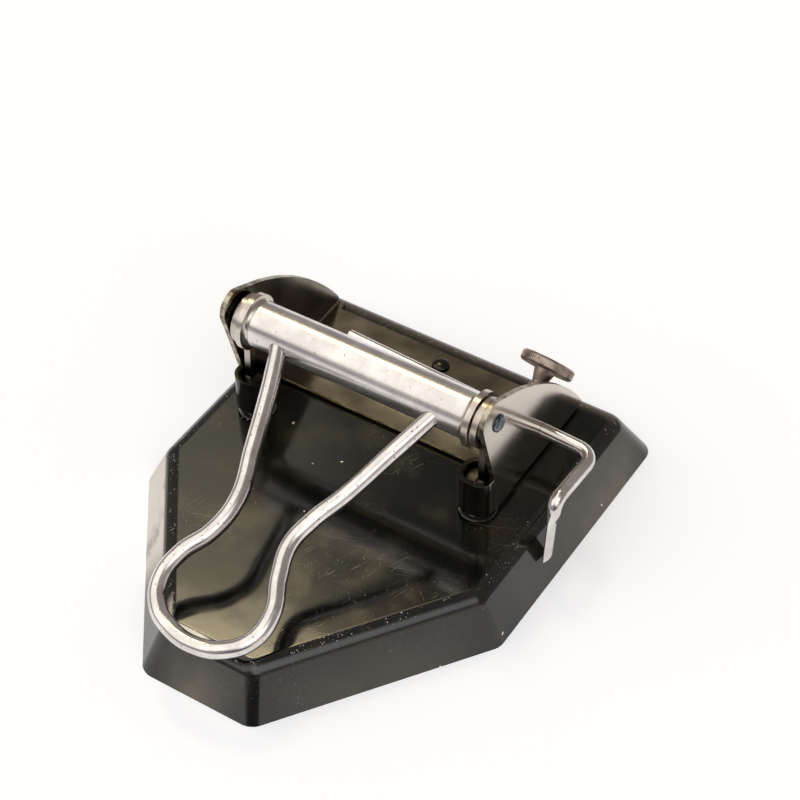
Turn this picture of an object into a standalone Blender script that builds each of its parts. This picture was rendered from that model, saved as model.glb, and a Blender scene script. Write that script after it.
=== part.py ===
"""Two-hole paper perforating machine with a wire press handle and a sliding side gauge.

Metres, +Z up, front towards -Y. The origin is the centre of the base's footprint on the table.
"""
import math

import bmesh
import bpy
from mathutils import Matrix, Vector

# Clearances
SEAT_GAP = 0.0003        # between pieces that touch
RUNNING_GAP = 0.0003     # around pieces that turn or slide

# Base pan, measured at the foot of its splayed sides
HOLE_SPACING = 0.0700
BASE_SIDE_MARGIN = 0.0206    # from a punch, were the bracket in the middle, to the foot's side edge
BASE_LENGTH = 0.1366
BASE_HEIGHT = 0.0141
BASE_SPLAY = 0.0068      # how far the sides lean out from top to foot
BASE_SHEET = 0.0014
BASE_FRONT_WIDTH = 0.0333
BASE_SIDE_LENGTH = 0.0825    # straight side, from the back to the shoulder
BASE_CORNER_RADIUS = 0.0048  # down each corner
BASE_EDGE_RADIUS = 0.0022    # along the top

# Bracket: a folded sheet with a plate, two cheeks and two punch guides
SHEET = 0.0015
FOLD_RADIUS = 0.0021         # outside, where the cheeks turn up from the plate
FRAME_OFFSET = -0.0024       # the bracket sits left of the base's middle
CHEEK_BACK_MARGIN = 0.0036   # from the base's top back edge
STOP_FROM_BACK = 0.0336      # front edge of the plate, the paper stop
PLATE_BACK_MARGIN = 0.0024
HOLE_MARGIN = 0.0115         # from the paper stop to the punch axis
PAPER_SLOT = 0.0020          # above the base's top
GUIDE_HEIGHT = 0.0113
GUIDE_CORNER_RADIUS = 0.0026
GUIDE_LAP = 0.0004           # the guide runs past the cheek's trimmed edges by this
GUIDE_INSET = 0.00006        # the guide's outer wall lies this far inside the cheek's face
CHEEK_BACK_HEIGHT = 0.0032
CHEEK_TOP_RADIUS = 0.0050
CHEEK_TOP_ABOVE_PIVOT = 0.0030    # centre of the head's top corner
CHEEK_TOP_BEFORE_PIVOT = 0.0022
CHEEK_SLOPE_BULGE = 0.0046
CHEEK_NECK_SETBACK = 0.0047      # from the guide's front face to the neck

# Punches and dies
PUNCH_DIAMETER = 0.0064
PUNCH_DEPTH = 0.0004         # below the base's top with the handle down
PUNCH_HEAD_ABOVE_PIN = 0.0022
PIN_DIAMETER = 0.0020
PIN_HEIGHT = 0.0094          # above the base's top with the handle down
PIN_PLAY = 0.0007            # the strap's eye is this much wider than the pin, all round
DIE_WALL = 0.0016
DIE_FLANGE = 0.0016
DIE_FLANGE_THICKNESS = 0.0014

# Lever: a tube on two end plugs, which turn on pivots set off their centre
PIVOT_HEIGHT = 0.0327        # above the base's top
PIVOT_BEHIND_PUNCH = 0.0013
PIVOT_DIAMETER = 0.0040
PIVOT_LENGTH = 0.0122        # from the cheek's outer face inwards
PIVOT_HEAD_DIAMETER = 0.0050
PIVOT_HEAD_HEIGHT = 0.0006
ECCENTRICITY = 0.0018        # the tube's centre lies this far below the pivots, handle down
TUBE_DIAMETER = 0.0128
TUBE_WALL = 0.0010
FLANGE_DIAMETER = 0.0156
FLANGE_WIDTH = 0.0030
FLANGE_INSET = 0.0033        # from the cheek's inner face to the flange's outer side
FLANGE_EDGE_RADIUS = 0.0007
JOURNAL_DIAMETER = 0.0098
SPIGOT_LENGTH = 0.0046
STRAP_WALL = 0.0017
STRAP_THICKNESS = 0.0018
STRAP_TAIL_WIDTH = 0.0024
STRAP_EYE_WALL = 0.0009
HANDLE_WIRE = 0.0046
HANDLE_SLOPE = 19.5          # degrees down from the pivots to the front

# Handle loop: across the machine from the bracket's middle, and out from the pivots
HANDLE_PATH = [
    (-0.0233, 0.0052), (-0.0223, 0.0077), (-0.0191, 0.0162), (-0.0137, 0.0330), (-0.0096, 0.0470),
    (-0.0108, 0.0570), (-0.0150, 0.0655), (-0.0157, 0.0735), (-0.0122, 0.0800), (-0.0060, 0.0835),
    (0.0018, 0.0845), (0.0094, 0.0822), (0.0144, 0.0770), (0.0152, 0.0690), (0.0115, 0.0600),
    (0.0093, 0.0515), (0.0108, 0.0440), (0.0150, 0.0335), (0.0195, 0.0190), (0.0231, 0.0077),
    (0.0239, 0.0052),
]

# Side gauge, its bush and its thumbscrew
ROD_DIAMETER = 0.0038
ROD_BEHIND_STOP = 0.0125     # where it passes the right cheek's outer face
ROD_SKEW = 2.9               # degrees in plan, its inner end leaning back
ROD_HEIGHT = 0.0104          # above the base's top
ROD_INNER_X = -0.0250
ROD_INSET = 0.0021           # the paddle stands this far inside the foot's side edge
ROD_BEND_RADIUS = 0.0046
ROD_LEG_LENGTH = 0.0209
ROD_LEG_RISE = 0.0008
ROD_ELBOW_RADIUS = 0.0036
PADDLE_WIDTH = 0.0050
PADDLE_THICKNESS = 0.0015
PADDLE_FOOT_HEIGHT = 0.0068
PADDLE_SETBACK = 0.0022
BUSH_DIAMETER = 0.0086
BUSH_LENGTH = 0.0112
SCREW_INSET = 0.0054         # from the cheek's inner face to the screw's axis
SCREW_SLOPE = 37.0           # degrees above level, leaning back
SCREW_DIAMETER = 0.0036
SCREW_NECK_DIAMETER = 0.0060
SCREW_NECK_LENGTH = 0.0044
SCREW_HEAD_DIAMETER = 0.0150
SCREW_HEAD_THICKNESS = 0.0029
SCREW_HEAD_DISTANCE = 0.0158     # from the rod's axis to the middle of the head

# Rivets
RIVET_DIAMETER = 0.0028
RIVET_HEAD_DIAMETER = 0.0050
RIVET_HEAD_HEIGHT = 0.0010
RIVET_SIDE_X = 0.0230
RIVET_SIDE_BEHIND_STOP = 0.0150
RIVET_BACK_BEHIND_STOP = 0.0263

# Places that follow from the sizes above
base_width = HOLE_SPACING + 2 * BASE_SIDE_MARGIN
base_top = BASE_HEIGHT
base_back_top = BASE_LENGTH / 2 - BASE_SPLAY
cheek_back_y = base_back_top - CHEEK_BACK_MARGIN
stop_y = cheek_back_y - STOP_FROM_BACK
punch_y = stop_y - HOLE_MARGIN
pivot_y = punch_y + PIVOT_BEHIND_PUNCH
pivot_z = base_top + PIVOT_HEIGHT
tube_z = pivot_z - ECCENTRICITY
pin_z = base_top + PIN_HEIGHT
plate_z = base_top + SEAT_GAP
slot_z = base_top + PAPER_SLOT
guide_top_z = slot_z + GUIDE_HEIGHT
punch_radius = PUNCH_DIAMETER / 2
guide_half = punch_radius + RUNNING_GAP + SHEET
half_spacing = HOLE_SPACING / 2
cheek_outer = half_spacing + guide_half
cheek_inner = cheek_outer - SHEET
guide_front_y = punch_y - guide_half
rod_y = stop_y + ROD_BEHIND_STOP
rod_z = base_top + ROD_HEIGHT
rod_outer_x = base_width / 2 - ROD_INSET
flange_outer = cheek_inner - FLANGE_INSET
strap_inner_face = flange_outer + RUNNING_GAP
strap_outer_face = strap_inner_face + STRAP_THICKNESS
strap_x = (strap_inner_face + strap_outer_face) / 2
handle_slope = math.radians(HANDLE_SLOPE)
screw_x = FRAME_OFFSET + cheek_inner - SCREW_INSET
screw_slope = math.radians(SCREW_SLOPE)
rod_skew = math.radians(ROD_SKEW)
rod_hole_x = FRAME_OFFSET + cheek_outer


def rod_y_at(x):
    """Where the skewed rod's axis lies, front to back, at a place across the machine."""
    return rod_y - (x - rod_hole_x) * math.tan(rod_skew)


# Start from an empty scene
for old in list(bpy.data.objects):
    bpy.data.objects.remove(old, do_unlink=True)

parts = bpy.data.collections.new("paper_perforating_machine")
cutters = bpy.data.collections.new("cutters")
bpy.context.scene.collection.children.link(parts)
bpy.context.scene.collection.children.link(cutters)


def material(name, colour, roughness, metallic):
    """A Principled material with one colour."""
    made = bpy.data.materials.new(name)
    made.use_nodes = True
    shader = made.node_tree.nodes["Principled BSDF"]
    shader.inputs["Base Color"].default_value = (*colour, 1.0)
    shader.inputs["Roughness"].default_value = roughness
    shader.inputs["Metallic"].default_value = metallic
    made.diffuse_color = (*colour, 1.0)
    return made


BLACK_JAPAN = material("black_japan", (0.012, 0.011, 0.008), 0.12, 0.0)
NICKEL = material("nickel", (0.78, 0.76, 0.74), 0.18, 1.0)
STEEL = material("steel", (0.42, 0.41, 0.40), 0.35, 1.0)
TARNISHED_BRASS = material("tarnished_brass", (0.55, 0.40, 0.36), 0.42, 1.0)


# Ways of making a piece
def add_piece(name, mesh, finish, location=(0, 0, 0), parent=None):
    """Links a mesh as a named sub-part with its finish."""
    piece = bpy.data.objects.new(name, mesh)
    parts.objects.link(piece)
    if finish:
        mesh.materials.clear()
        mesh.materials.append(finish)
    piece.location = location
    if parent:
        piece.parent = parent
        piece.location = Vector(location) - parent.location
    return piece


def add_tool(name, mesh, location=(0, 0, 0)):
    """Links a mesh as a hidden solid that shapes others."""
    tool = bpy.data.objects.new(name, mesh)
    cutters.objects.link(tool)
    tool.location = location
    tool.hide_render = True
    tool.display_type = "WIRE"
    return tool


def shape(piece, tool, operation="DIFFERENCE"):
    """Cuts a piece by a tool, or joins the tool to it."""
    step = piece.modifiers.new(tool.name, "BOOLEAN")
    step.operation = operation
    step.solver = "EXACT"
    step.object = tool


def round_bar(radius, length, axis="Z", segments=40):
    """A cylinder about the origin, along a named axis."""
    quarter = math.pi / 2
    turn = {"X": Matrix.Rotation(quarter, 4, "Y"), "Y": Matrix.Rotation(quarter, 4, "X"), "Z": Matrix()}
    bm = bmesh.new()
    bmesh.ops.create_cone(bm, cap_ends=True, segments=segments, radius1=radius, radius2=radius,
                          depth=length, matrix=turn[axis])
    return finished_mesh("round_bar", bm)


def block(size_x, size_y, size_z):
    """A box about the origin."""
    bm = bmesh.new()
    bmesh.ops.create_cube(bm, size=1.0, matrix=Matrix.Diagonal((size_x, size_y, size_z, 1.0)))
    return finished_mesh("block", bm)


def finished_mesh(name, bm):
    """Turns a bmesh into a mesh that is smooth over its round stretches."""
    mesh = bpy.data.meshes.new(name)
    bm.to_mesh(mesh)
    bm.free()
    mesh.shade_smooth()
    mesh.set_sharp_from_angle(angle=math.radians(35))
    return mesh


def turned(name, profile, finish, location, parent=None, steps=40, closed=False):
    """A piece turned about its own Z from a profile that runs down its outer side."""
    count = len(profile)
    edges = [(i, i + 1) for i in range(count - 1)]
    if closed:
        edges.append((count - 1, 0))
    mesh = bpy.data.meshes.new(name)
    mesh.from_pydata([(r, 0.0, z) for r, z in profile], edges, [])
    piece = add_piece(name, mesh, finish, location, parent)
    screw = piece.modifiers.new("turn", "SCREW")
    screw.steps = steps
    screw.render_steps = steps
    screw.use_merge_vertices = True
    screw.merge_threshold = 0.00001
    screw.use_smooth_shade = True
    return piece


def mesh_of_curve(curve_object):
    """The closed mesh of a curve object, which is removed."""
    graph = bpy.context.evaluated_depsgraph_get()
    mesh = bpy.data.meshes.new_from_object(curve_object.evaluated_get(graph))
    bm = bmesh.new()
    bm.from_mesh(mesh)
    bmesh.ops.remove_doubles(bm, verts=bm.verts, dist=0.00001)
    bmesh.ops.recalc_face_normals(bm, faces=bm.faces)
    bm.transform(curve_object.matrix_world)
    bpy.data.objects.remove(curve_object, do_unlink=True)
    bpy.data.meshes.remove(mesh)
    return finished_mesh("from_curve", bm)


def flat_piece(outline, thickness):
    """A sheet of even thickness with a closed outline, about its own middle plane."""
    curve = bpy.data.curves.new("outline", "CURVE")
    curve.dimensions = "2D"
    curve.fill_mode = "BOTH"
    curve.extrude = thickness / 2
    spline = curve.splines.new("POLY")
    spline.points.add(len(outline) - 1)
    for point, (u, v) in zip(spline.points, outline):
        point.co = (u, v, 0.0, 1.0)
    spline.use_cyclic_u = True
    holder = bpy.data.objects.new("outline", curve)
    cutters.objects.link(holder)
    bpy.context.view_layer.update()
    return mesh_of_curve(holder)


def wire(path, radius, smooth_steps, sides=4):
    """A round wire through the points of a path, as a closed mesh."""
    curve = bpy.data.curves.new("wire", "CURVE")
    curve.dimensions = "3D"
    curve.resolution_u = smooth_steps
    curve.bevel_depth = radius
    curve.bevel_resolution = sides
    curve.use_fill_caps = True
    spline = curve.splines.new("BEZIER")
    spline.bezier_points.add(len(path) - 1)
    for point, place in zip(spline.bezier_points, path):
        point.co = place
        point.handle_left_type = "AUTO"
        point.handle_right_type = "AUTO"
    holder = bpy.data.objects.new("wire", curve)
    cutters.objects.link(holder)
    bpy.context.view_layer.update()
    return mesh_of_curve(holder)


def arc(centre, radius, start, end, steps):
    """Points on a circle from one angle to another, in degrees."""
    points = []
    for i in range(steps + 1):
        angle = math.radians(start + (end - start) * i / steps)
        points.append((centre[0] + radius * math.cos(angle), centre[1] + radius * math.sin(angle)))
    return points


def bulged_line(start, end, bulge, steps):
    """Points between two ends on a shallow arc that bulges to the left of the way."""
    along = Vector(end) - Vector(start)
    side = Vector((-along.y, along.x)).normalized()
    points = []
    for i in range(1, steps):
        t = i / steps
        place = Vector(start) + along * t + side * bulge * 4 * t * (1 - t)
        points.append((place.x, place.y))
    return points


def rounded_rectangle(half_u, half_v, radius, steps=5):
    """A closed outline about the origin with round corners."""
    points = []
    for index, (su, sv) in enumerate(((1, 1), (-1, 1), (-1, -1), (1, -1))):
        centre = (su * (half_u - radius), sv * (half_v - radius))
        points += arc(centre, radius, 90 * index, 90 * index + 90, steps)
    return points


def side_to_cheek(mesh):
    """Stands a sheet drawn as (back, up) upright, with its thickness along X."""
    mesh.transform(Matrix(((0, 0, 1, 0), (1, 0, 0, 0), (0, 1, 0, 0), (0, 0, 0, 1))))
    return mesh


# Base pan: a solid with splayed sides, hollowed from below by a smaller one
def base_outline(grow):
    """Corner points of the foot, counter-clockwise, moved out by a distance on every side."""
    half = base_width / 2
    front = -BASE_LENGTH / 2
    shoulder = BASE_LENGTH / 2 - BASE_SIDE_LENGTH
    corners = [
        Vector((BASE_FRONT_WIDTH / 2, front)), Vector((half, shoulder)), Vector((half, -front)),
        Vector((-half, -front)), Vector((-half, shoulder)), Vector((-BASE_FRONT_WIDTH / 2, front)),
    ]
    grown = []
    for index, corner in enumerate(corners):
        before = (corners[index - 1] - corner).normalized()
        after = (corners[(index + 1) % len(corners)] - corner).normalized()
        half_angle = before.angle(after) / 2
        grown.append((corner - (before + after).normalized() * grow / math.sin(half_angle), half_angle))
    return grown


def pan_solid(name, grow, foot_z, top_z, corner_radius, edge_radius):
    """A splayed solid from one height to another with round corners and a round top edge."""
    slope = BASE_SPLAY / BASE_HEIGHT
    corners = base_outline(grow - slope * foot_z)
    bm = bmesh.new()
    bmesh.ops.create_circle(bm, cap_ends=True, radius=1.0, segments=len(corners))
    for vert, (corner, half_angle) in zip(list(bm.verts), corners):
        vert.co = (corner.x, corner.y, foot_z)
    bm.normal_update()
    top = list(bm.faces)[0]
    if top.normal.z < 0:
        top.normal_flip()
    height = top_z - foot_z
    bmesh.ops.inset_region(bm, faces=[top], thickness=slope * height, depth=height, use_boundary=True,
                           use_even_offset=True)
    foot = [edge for edge in bm.edges if edge.is_boundary]
    bmesh.ops.contextual_create(bm, geom=foot)
    for corner, half_angle in corners:
        foot_point = Vector((corner.x, corner.y, foot_z))
        rising = [edge for edge in bm.edges if abs(edge.verts[0].co.z - edge.verts[1].co.z) > height / 2]
        edge = min(rising, key=lambda e: min((v.co - foot_point).length for v in e.verts))
        bmesh.ops.bevel(bm, geom=[edge], offset=corner_radius / math.tan(half_angle), segments=6, profile=0.5,
                        affect="EDGES")
    top_edges = [edge for edge in bm.edges if all(abs(v.co.z - top_z) < height / 100 for v in edge.verts)]
    bmesh.ops.bevel(bm, geom=top_edges, offset=edge_radius, segments=4, profile=0.5, affect="EDGES")
    bmesh.ops.remove_doubles(bm, verts=bm.verts, dist=0.00001)
    bmesh.ops.recalc_face_normals(bm, faces=bm.faces)
    return finished_mesh(name, bm)


side_thickness = BASE_SHEET / math.cos(math.atan2(BASE_SPLAY, BASE_HEIGHT))
pan_mesh = pan_solid("base_pan", 0.0, 0.0, base_top, BASE_CORNER_RADIUS, BASE_EDGE_RADIUS)
base_pan = add_piece("base_pan", pan_mesh, BLACK_JAPAN)
hollow_mesh = pan_solid("pan_hollow", -side_thickness, -BASE_SHEET, base_top - BASE_SHEET,
                        BASE_CORNER_RADIUS - BASE_SHEET, BASE_EDGE_RADIUS - BASE_SHEET / 2)
shape(base_pan, add_tool("pan_hollow", hollow_mesh))

# Bracket: a folded channel trimmed to the side view, with the punch guides added at its front
guide_neck_y = guide_front_y + CHEEK_NECK_SETBACK
head_centre = (pivot_y - CHEEK_TOP_BEFORE_PIVOT, pivot_z + CHEEK_TOP_ABOVE_PIVOT)
head_top = arc(head_centre, CHEEK_TOP_RADIUS, 60, 190, 10)
back_top = (cheek_back_y, plate_z + CHEEK_BACK_HEIGHT)
cheek_front_y = guide_front_y + GUIDE_CORNER_RADIUS
side_view = [(cheek_front_y, slot_z), (stop_y, slot_z), (stop_y, 0.0), (cheek_back_y, 0.0), back_top]
side_view += bulged_line(back_top, head_top[0], -CHEEK_SLOPE_BULGE, 12)
side_view += head_top
side_view += [(guide_neck_y, guide_top_z - GUIDE_LAP), (cheek_front_y, guide_top_z - GUIDE_LAP)]

channel_top = pivot_z + 3 * CHEEK_TOP_RADIUS
channel = [(-cheek_outer, channel_top)]
channel += arc((-cheek_outer + FOLD_RADIUS, plate_z + FOLD_RADIUS), FOLD_RADIUS, 180, 270, 4)
channel += arc((cheek_outer - FOLD_RADIUS, plate_z + FOLD_RADIUS), FOLD_RADIUS, 270, 360, 4)
channel += [(cheek_outer, channel_top), (cheek_inner, channel_top)]
fold_inner = FOLD_RADIUS - SHEET
channel += arc((cheek_inner - fold_inner, plate_z + FOLD_RADIUS), fold_inner, 0, -90, 3)
channel += arc((-cheek_inner + fold_inner, plate_z + FOLD_RADIUS), fold_inner, -90, -180, 3)
channel += [(-cheek_inner, channel_top)]
channel_depth = 2 * (cheek_back_y - guide_front_y)
channel_mesh = flat_piece(channel, channel_depth)
channel_mesh.transform(Matrix.Rotation(math.pi / 2, 4, "X"))
bracket = add_piece("bracket", channel_mesh, BLACK_JAPAN, (FRAME_OFFSET, punch_y, 0))

trim = add_tool("side_view", side_to_cheek(flat_piece(side_view, 3 * cheek_outer)), (FRAME_OFFSET, 0, 0))
shape(bracket, trim, "INTERSECT")
plate_trim_depth = 3 * PLATE_BACK_MARGIN
plate_trim = add_tool("plate_trim", block(2 * (cheek_inner - FOLD_RADIUS), plate_trim_depth, 4 * SHEET),
                      (FRAME_OFFSET, cheek_back_y - PLATE_BACK_MARGIN + plate_trim_depth / 2, plate_z))
shape(bracket, plate_trim)

guide_outline = rounded_rectangle(guide_half - GUIDE_INSET, guide_half, GUIDE_CORNER_RADIUS)
bore_half = guide_half - SHEET
bore_outline = rounded_rectangle(bore_half - GUIDE_INSET, bore_half, GUIDE_CORNER_RADIUS - SHEET)
guide_foot_z = slot_z - GUIDE_LAP / 2
guide_middle_z = (guide_foot_z + guide_top_z) / 2

for side, sign in (("left", -1), ("right", 1)):
    guide = add_tool(side + "_guide", flat_piece(guide_outline, guide_top_z - guide_foot_z),
                     (FRAME_OFFSET + sign * half_spacing, punch_y, guide_middle_z))
    shape(bracket, guide, "UNION")
    bore = add_tool(side + "_guide_bore", flat_piece(bore_outline, 2 * GUIDE_HEIGHT),
                    (FRAME_OFFSET + sign * half_spacing, punch_y, guide_middle_z))
    shape(bracket, bore)

pivot_hole = add_tool("pivot_hole", round_bar(PIVOT_DIAMETER / 2 + SEAT_GAP, 3 * cheek_outer, "X"),
                      (FRAME_OFFSET, pivot_y, pivot_z))
shape(bracket, pivot_hole)
rod_hole = add_tool("rod_hole", round_bar(ROD_DIAMETER / 2 + RUNNING_GAP, 4 * SHEET, "X"),
                    (rod_hole_x, rod_y, rod_z))
rod_hole.rotation_euler = (0, 0, -rod_skew)
shape(bracket, rod_hole)

# Rivets through the plate and the base
rivet_places = {
    "left": (FRAME_OFFSET - RIVET_SIDE_X, stop_y + RIVET_SIDE_BEHIND_STOP),
    "right": (FRAME_OFFSET + RIVET_SIDE_X, stop_y + RIVET_SIDE_BEHIND_STOP),
    "back": (FRAME_OFFSET, stop_y + RIVET_BACK_BEHIND_STOP),
}
rivet_top = plate_z + SHEET + SEAT_GAP
rivet_bottom = base_top - BASE_SHEET - SEAT_GAP
head_radius = RIVET_HEAD_DIAMETER / 2
shank_radius = RIVET_DIAMETER / 2
rivet_profile = [
    (0, rivet_top + RIVET_HEAD_HEIGHT), (head_radius * 0.55, rivet_top + RIVET_HEAD_HEIGHT * 0.84),
    (head_radius * 0.88, rivet_top + RIVET_HEAD_HEIGHT * 0.45), (head_radius, rivet_top),
    (shank_radius, rivet_top), (shank_radius, rivet_bottom), (head_radius, rivet_bottom),
    (head_radius * 0.8, rivet_bottom - RIVET_HEAD_HEIGHT), (0, rivet_bottom - RIVET_HEAD_HEIGHT),
]
for side, (x, y) in rivet_places.items():
    turned("rivet_" + side, rivet_profile, STEEL if side != "back" else BLACK_JAPAN, (x, y, 0), steps=20)
    hole_mesh = round_bar(shank_radius + SEAT_GAP, 2 * base_top, segments=20)
    hole = add_tool("rivet_hole_" + side, hole_mesh, (x, y, base_top))
    shape(base_pan, hole)
    shape(bracket, hole)

# Dies: flanged bushes set in the base under the punches
die_bore = punch_radius + RUNNING_GAP
die_outer = die_bore + DIE_WALL
die_flange_z = base_top - BASE_SHEET - SEAT_GAP
die_profile = [
    (die_outer, base_top), (die_outer, die_flange_z), (die_outer + DIE_FLANGE, die_flange_z),
    (die_outer + DIE_FLANGE, die_flange_z - DIE_FLANGE_THICKNESS),
    (die_bore, die_flange_z - DIE_FLANGE_THICKNESS), (die_bore, base_top),
]

# Punches: round bars with a flat beside the strap's eye
punch_bottom = base_top - PUNCH_DEPTH
punch_top = pin_z + PUNCH_HEAD_ABOVE_PIN
eye_hole = PIN_DIAMETER / 2 + PIN_PLAY
eye_radius = eye_hole + STRAP_EYE_WALL
flat_bottom = pin_z - eye_radius - PIN_PLAY
flat_x = strap_inner_face - RUNNING_GAP - half_spacing

for side, sign in (("left", -1), ("right", 1)):
    x = FRAME_OFFSET + sign * half_spacing
    turned(side + "_die", die_profile, STEEL, (x, punch_y, 0), steps=36, closed=True)
    die_seat = add_tool(side + "_die_seat", round_bar(die_outer + SEAT_GAP, 4 * BASE_SHEET, segments=36),
                        (x, punch_y, base_top))
    shape(base_pan, die_seat)

    body = round_bar(punch_radius, punch_top - punch_bottom, segments=36)
    body.transform(Matrix.Translation((0, 0, (punch_top + punch_bottom) / 2 - pin_z)))
    punch = add_piece(side + "_punch", body, STEEL, (x, punch_y, pin_z))
    flat_depth = 2 * punch_radius
    flat = add_tool(side + "_punch_flat", block(flat_depth, 4 * punch_radius, 2 * (punch_top - flat_bottom)),
                    (x + sign * (flat_x + flat_depth / 2), punch_y, punch_top))
    shape(punch, flat)
    pin_inner = -punch_radius * 0.8
    pin_outer = strap_outer_face + RUNNING_GAP - half_spacing
    pin_middle = x + sign * (pin_inner + pin_outer) / 2
    pin_hole_mesh = round_bar(PIN_DIAMETER / 2 + SEAT_GAP / 2, 4 * punch_radius, "X", 24)
    pin_hole = add_tool(side + "_pin_hole", pin_hole_mesh, (x, punch_y, pin_z))
    shape(punch, pin_hole)
    add_piece(side + "_punch_pin", round_bar(PIN_DIAMETER / 2, pin_outer - pin_inner, "X", 20), STEEL,
              (pin_middle, punch_y, pin_z))

# Pivots: a pin riveted into each cheek, on which the lever turns
pivot_head = PIVOT_HEAD_DIAMETER / 2
pivot_radius = PIVOT_DIAMETER / 2
pivot_outer = cheek_outer + SEAT_GAP
pivot_profile = [
    (0, pivot_outer + PIVOT_HEAD_HEIGHT), (pivot_head * 0.7, pivot_outer + PIVOT_HEAD_HEIGHT),
    (pivot_head, pivot_outer), (pivot_radius, pivot_outer),
    (pivot_radius, cheek_outer - PIVOT_LENGTH), (0, cheek_outer - PIVOT_LENGTH),
]

# Lever: everything that turns on the pivots hangs from one empty on their axis
lever_axis = bpy.data.objects.new("lever_axis", None)
parts.objects.link(lever_axis)
lever_axis.location = (FRAME_OFFSET, pivot_y, pivot_z)
tube_place = (FRAME_OFFSET, pivot_y, tube_z)

tube_radius = TUBE_DIAMETER / 2
tube_bore_radius = tube_radius - TUBE_WALL
flange_inner = flange_outer - FLANGE_WIDTH
tube_end = flange_inner - SEAT_GAP
tube_mesh = round_bar(tube_radius, 2 * tube_end, "X", 56)
lever_tube = add_piece("lever_tube", tube_mesh, NICKEL, tube_place, lever_axis)
tube_bore = add_tool("tube_bore", round_bar(tube_bore_radius, 4 * tube_end, "X", 56), tube_place)
shape(lever_tube, tube_bore)

# End plugs: a spigot in the tube, a flange, and a journal for the strap
flange_radius = FLANGE_DIAMETER / 2
journal_radius = JOURNAL_DIAMETER / 2
journal_end = strap_outer_face + RUNNING_GAP
spigot_radius = tube_bore_radius - SEAT_GAP
plug_profile = [
    (0, journal_end), (journal_radius, journal_end), (journal_radius, flange_outer),
    (flange_radius - FLANGE_EDGE_RADIUS, flange_outer), (flange_radius, flange_outer - FLANGE_EDGE_RADIUS),
    (flange_radius, flange_inner + FLANGE_EDGE_RADIUS), (flange_radius - FLANGE_EDGE_RADIUS, flange_inner),
    (spigot_radius, flange_inner), (spigot_radius, flange_inner - SPIGOT_LENGTH),
    (0, flange_inner - SPIGOT_LENGTH),
]
strap_bore = journal_radius + RUNNING_GAP
strap_radius = strap_bore + STRAP_WALL
pin_drop = tube_z - pin_z
pin_reach = punch_y - pivot_y
strap_length = math.hypot(pin_drop, pin_reach)
strap_lean = math.atan2(pin_reach, pin_drop)

for side, sign in (("left", -1), ("right", 1)):
    pivot = turned(side + "_pivot", pivot_profile, STEEL, (FRAME_OFFSET, pivot_y, pivot_z), steps=28)
    pivot.rotation_euler = (0, sign * math.pi / 2, 0)

    plug = turned(side + "_end_plug", plug_profile, NICKEL, tube_place, lever_axis, steps=48)
    plug.rotation_euler = (0, sign * math.pi / 2, 0)
    bore_x = FRAME_OFFSET + sign * (cheek_outer - PIVOT_LENGTH / 2 - RUNNING_GAP)
    pivot_bore = add_tool(side + "_pivot_bore", round_bar(pivot_radius + RUNNING_GAP, PIVOT_LENGTH, "X", 32),
                          (bore_x, pivot_y, pivot_z))
    shape(plug, pivot_bore)

    # Strap: a ring on the journal, with a tail and an eye for the punch's pin
    place = (FRAME_OFFSET + sign * strap_x, pivot_y, tube_z)
    strap = add_piece(side + "_strap", round_bar(strap_radius, STRAP_THICKNESS, "X", 48), NICKEL, place)
    tail_mesh = block(STRAP_THICKNESS, STRAP_TAIL_WIDTH, strap_length)
    tail_mesh.transform(Matrix.Translation((0, 0, -strap_length / 2)))
    tail = add_tool(side + "_strap_tail", tail_mesh, place)
    tail.rotation_euler = (strap_lean, 0, 0)
    shape(strap, tail, "UNION")
    eye_place = (place[0], punch_y, pin_z)
    eye = add_tool(side + "_strap_eye", round_bar(eye_radius, STRAP_THICKNESS, "X", 28), eye_place)
    shape(strap, eye, "UNION")
    ring_bore = add_tool(side + "_strap_bore", round_bar(strap_bore, 3 * STRAP_THICKNESS, "X", 48), place)
    shape(strap, ring_bore)
    eye_bore = add_tool(side + "_eye_bore", round_bar(eye_hole, 3 * STRAP_THICKNESS, "X", 28), eye_place)
    shape(strap, eye_bore)

# Handle: one wire, bent to a loop in a plane through the pivots
out = Vector((0, -math.cos(handle_slope), -math.sin(handle_slope)))
handle_points = [Vector((x, 0, 0)) + out * reach for x, reach in HANDLE_PATH]
handle_mesh = wire(handle_points, HANDLE_WIRE / 2, 4)
handle_loop = add_piece("handle_loop", handle_mesh, NICKEL, tuple(lever_axis.location), lever_axis)
wire_ends = (("left", handle_points[1], handle_points[0]), ("right", handle_points[-2], handle_points[-1]))
for side, end, inside in wire_ends:
    aim = (end - inside).normalized()
    hole_length = 1.4 * tube_radius
    wire_hole = add_tool(side + "_wire_hole", round_bar(HANDLE_WIRE / 2 + SEAT_GAP, hole_length, "Z", 28),
                         lever_axis.location + inside + aim * hole_length / 2)
    wire_hole.rotation_euler = aim.to_track_quat("Z", "Y").to_euler()
    shape(lever_tube, wire_hole)

# Side gauge: a bent rod whose end is flattened into a paddle
rod_radius = ROD_DIAMETER / 2
bend_corner_y = rod_y_at(rod_outer_x)
bend_tangent = ROD_BEND_RADIUS * math.tan((math.pi / 2 - rod_skew) / 2)
leg_front_y = bend_corner_y - ROD_LEG_LENGTH
rod_inner_end = Vector((ROD_INNER_X, rod_y_at(ROD_INNER_X), rod_z))
leg_z = rod_z + ROD_LEG_RISE


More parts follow.
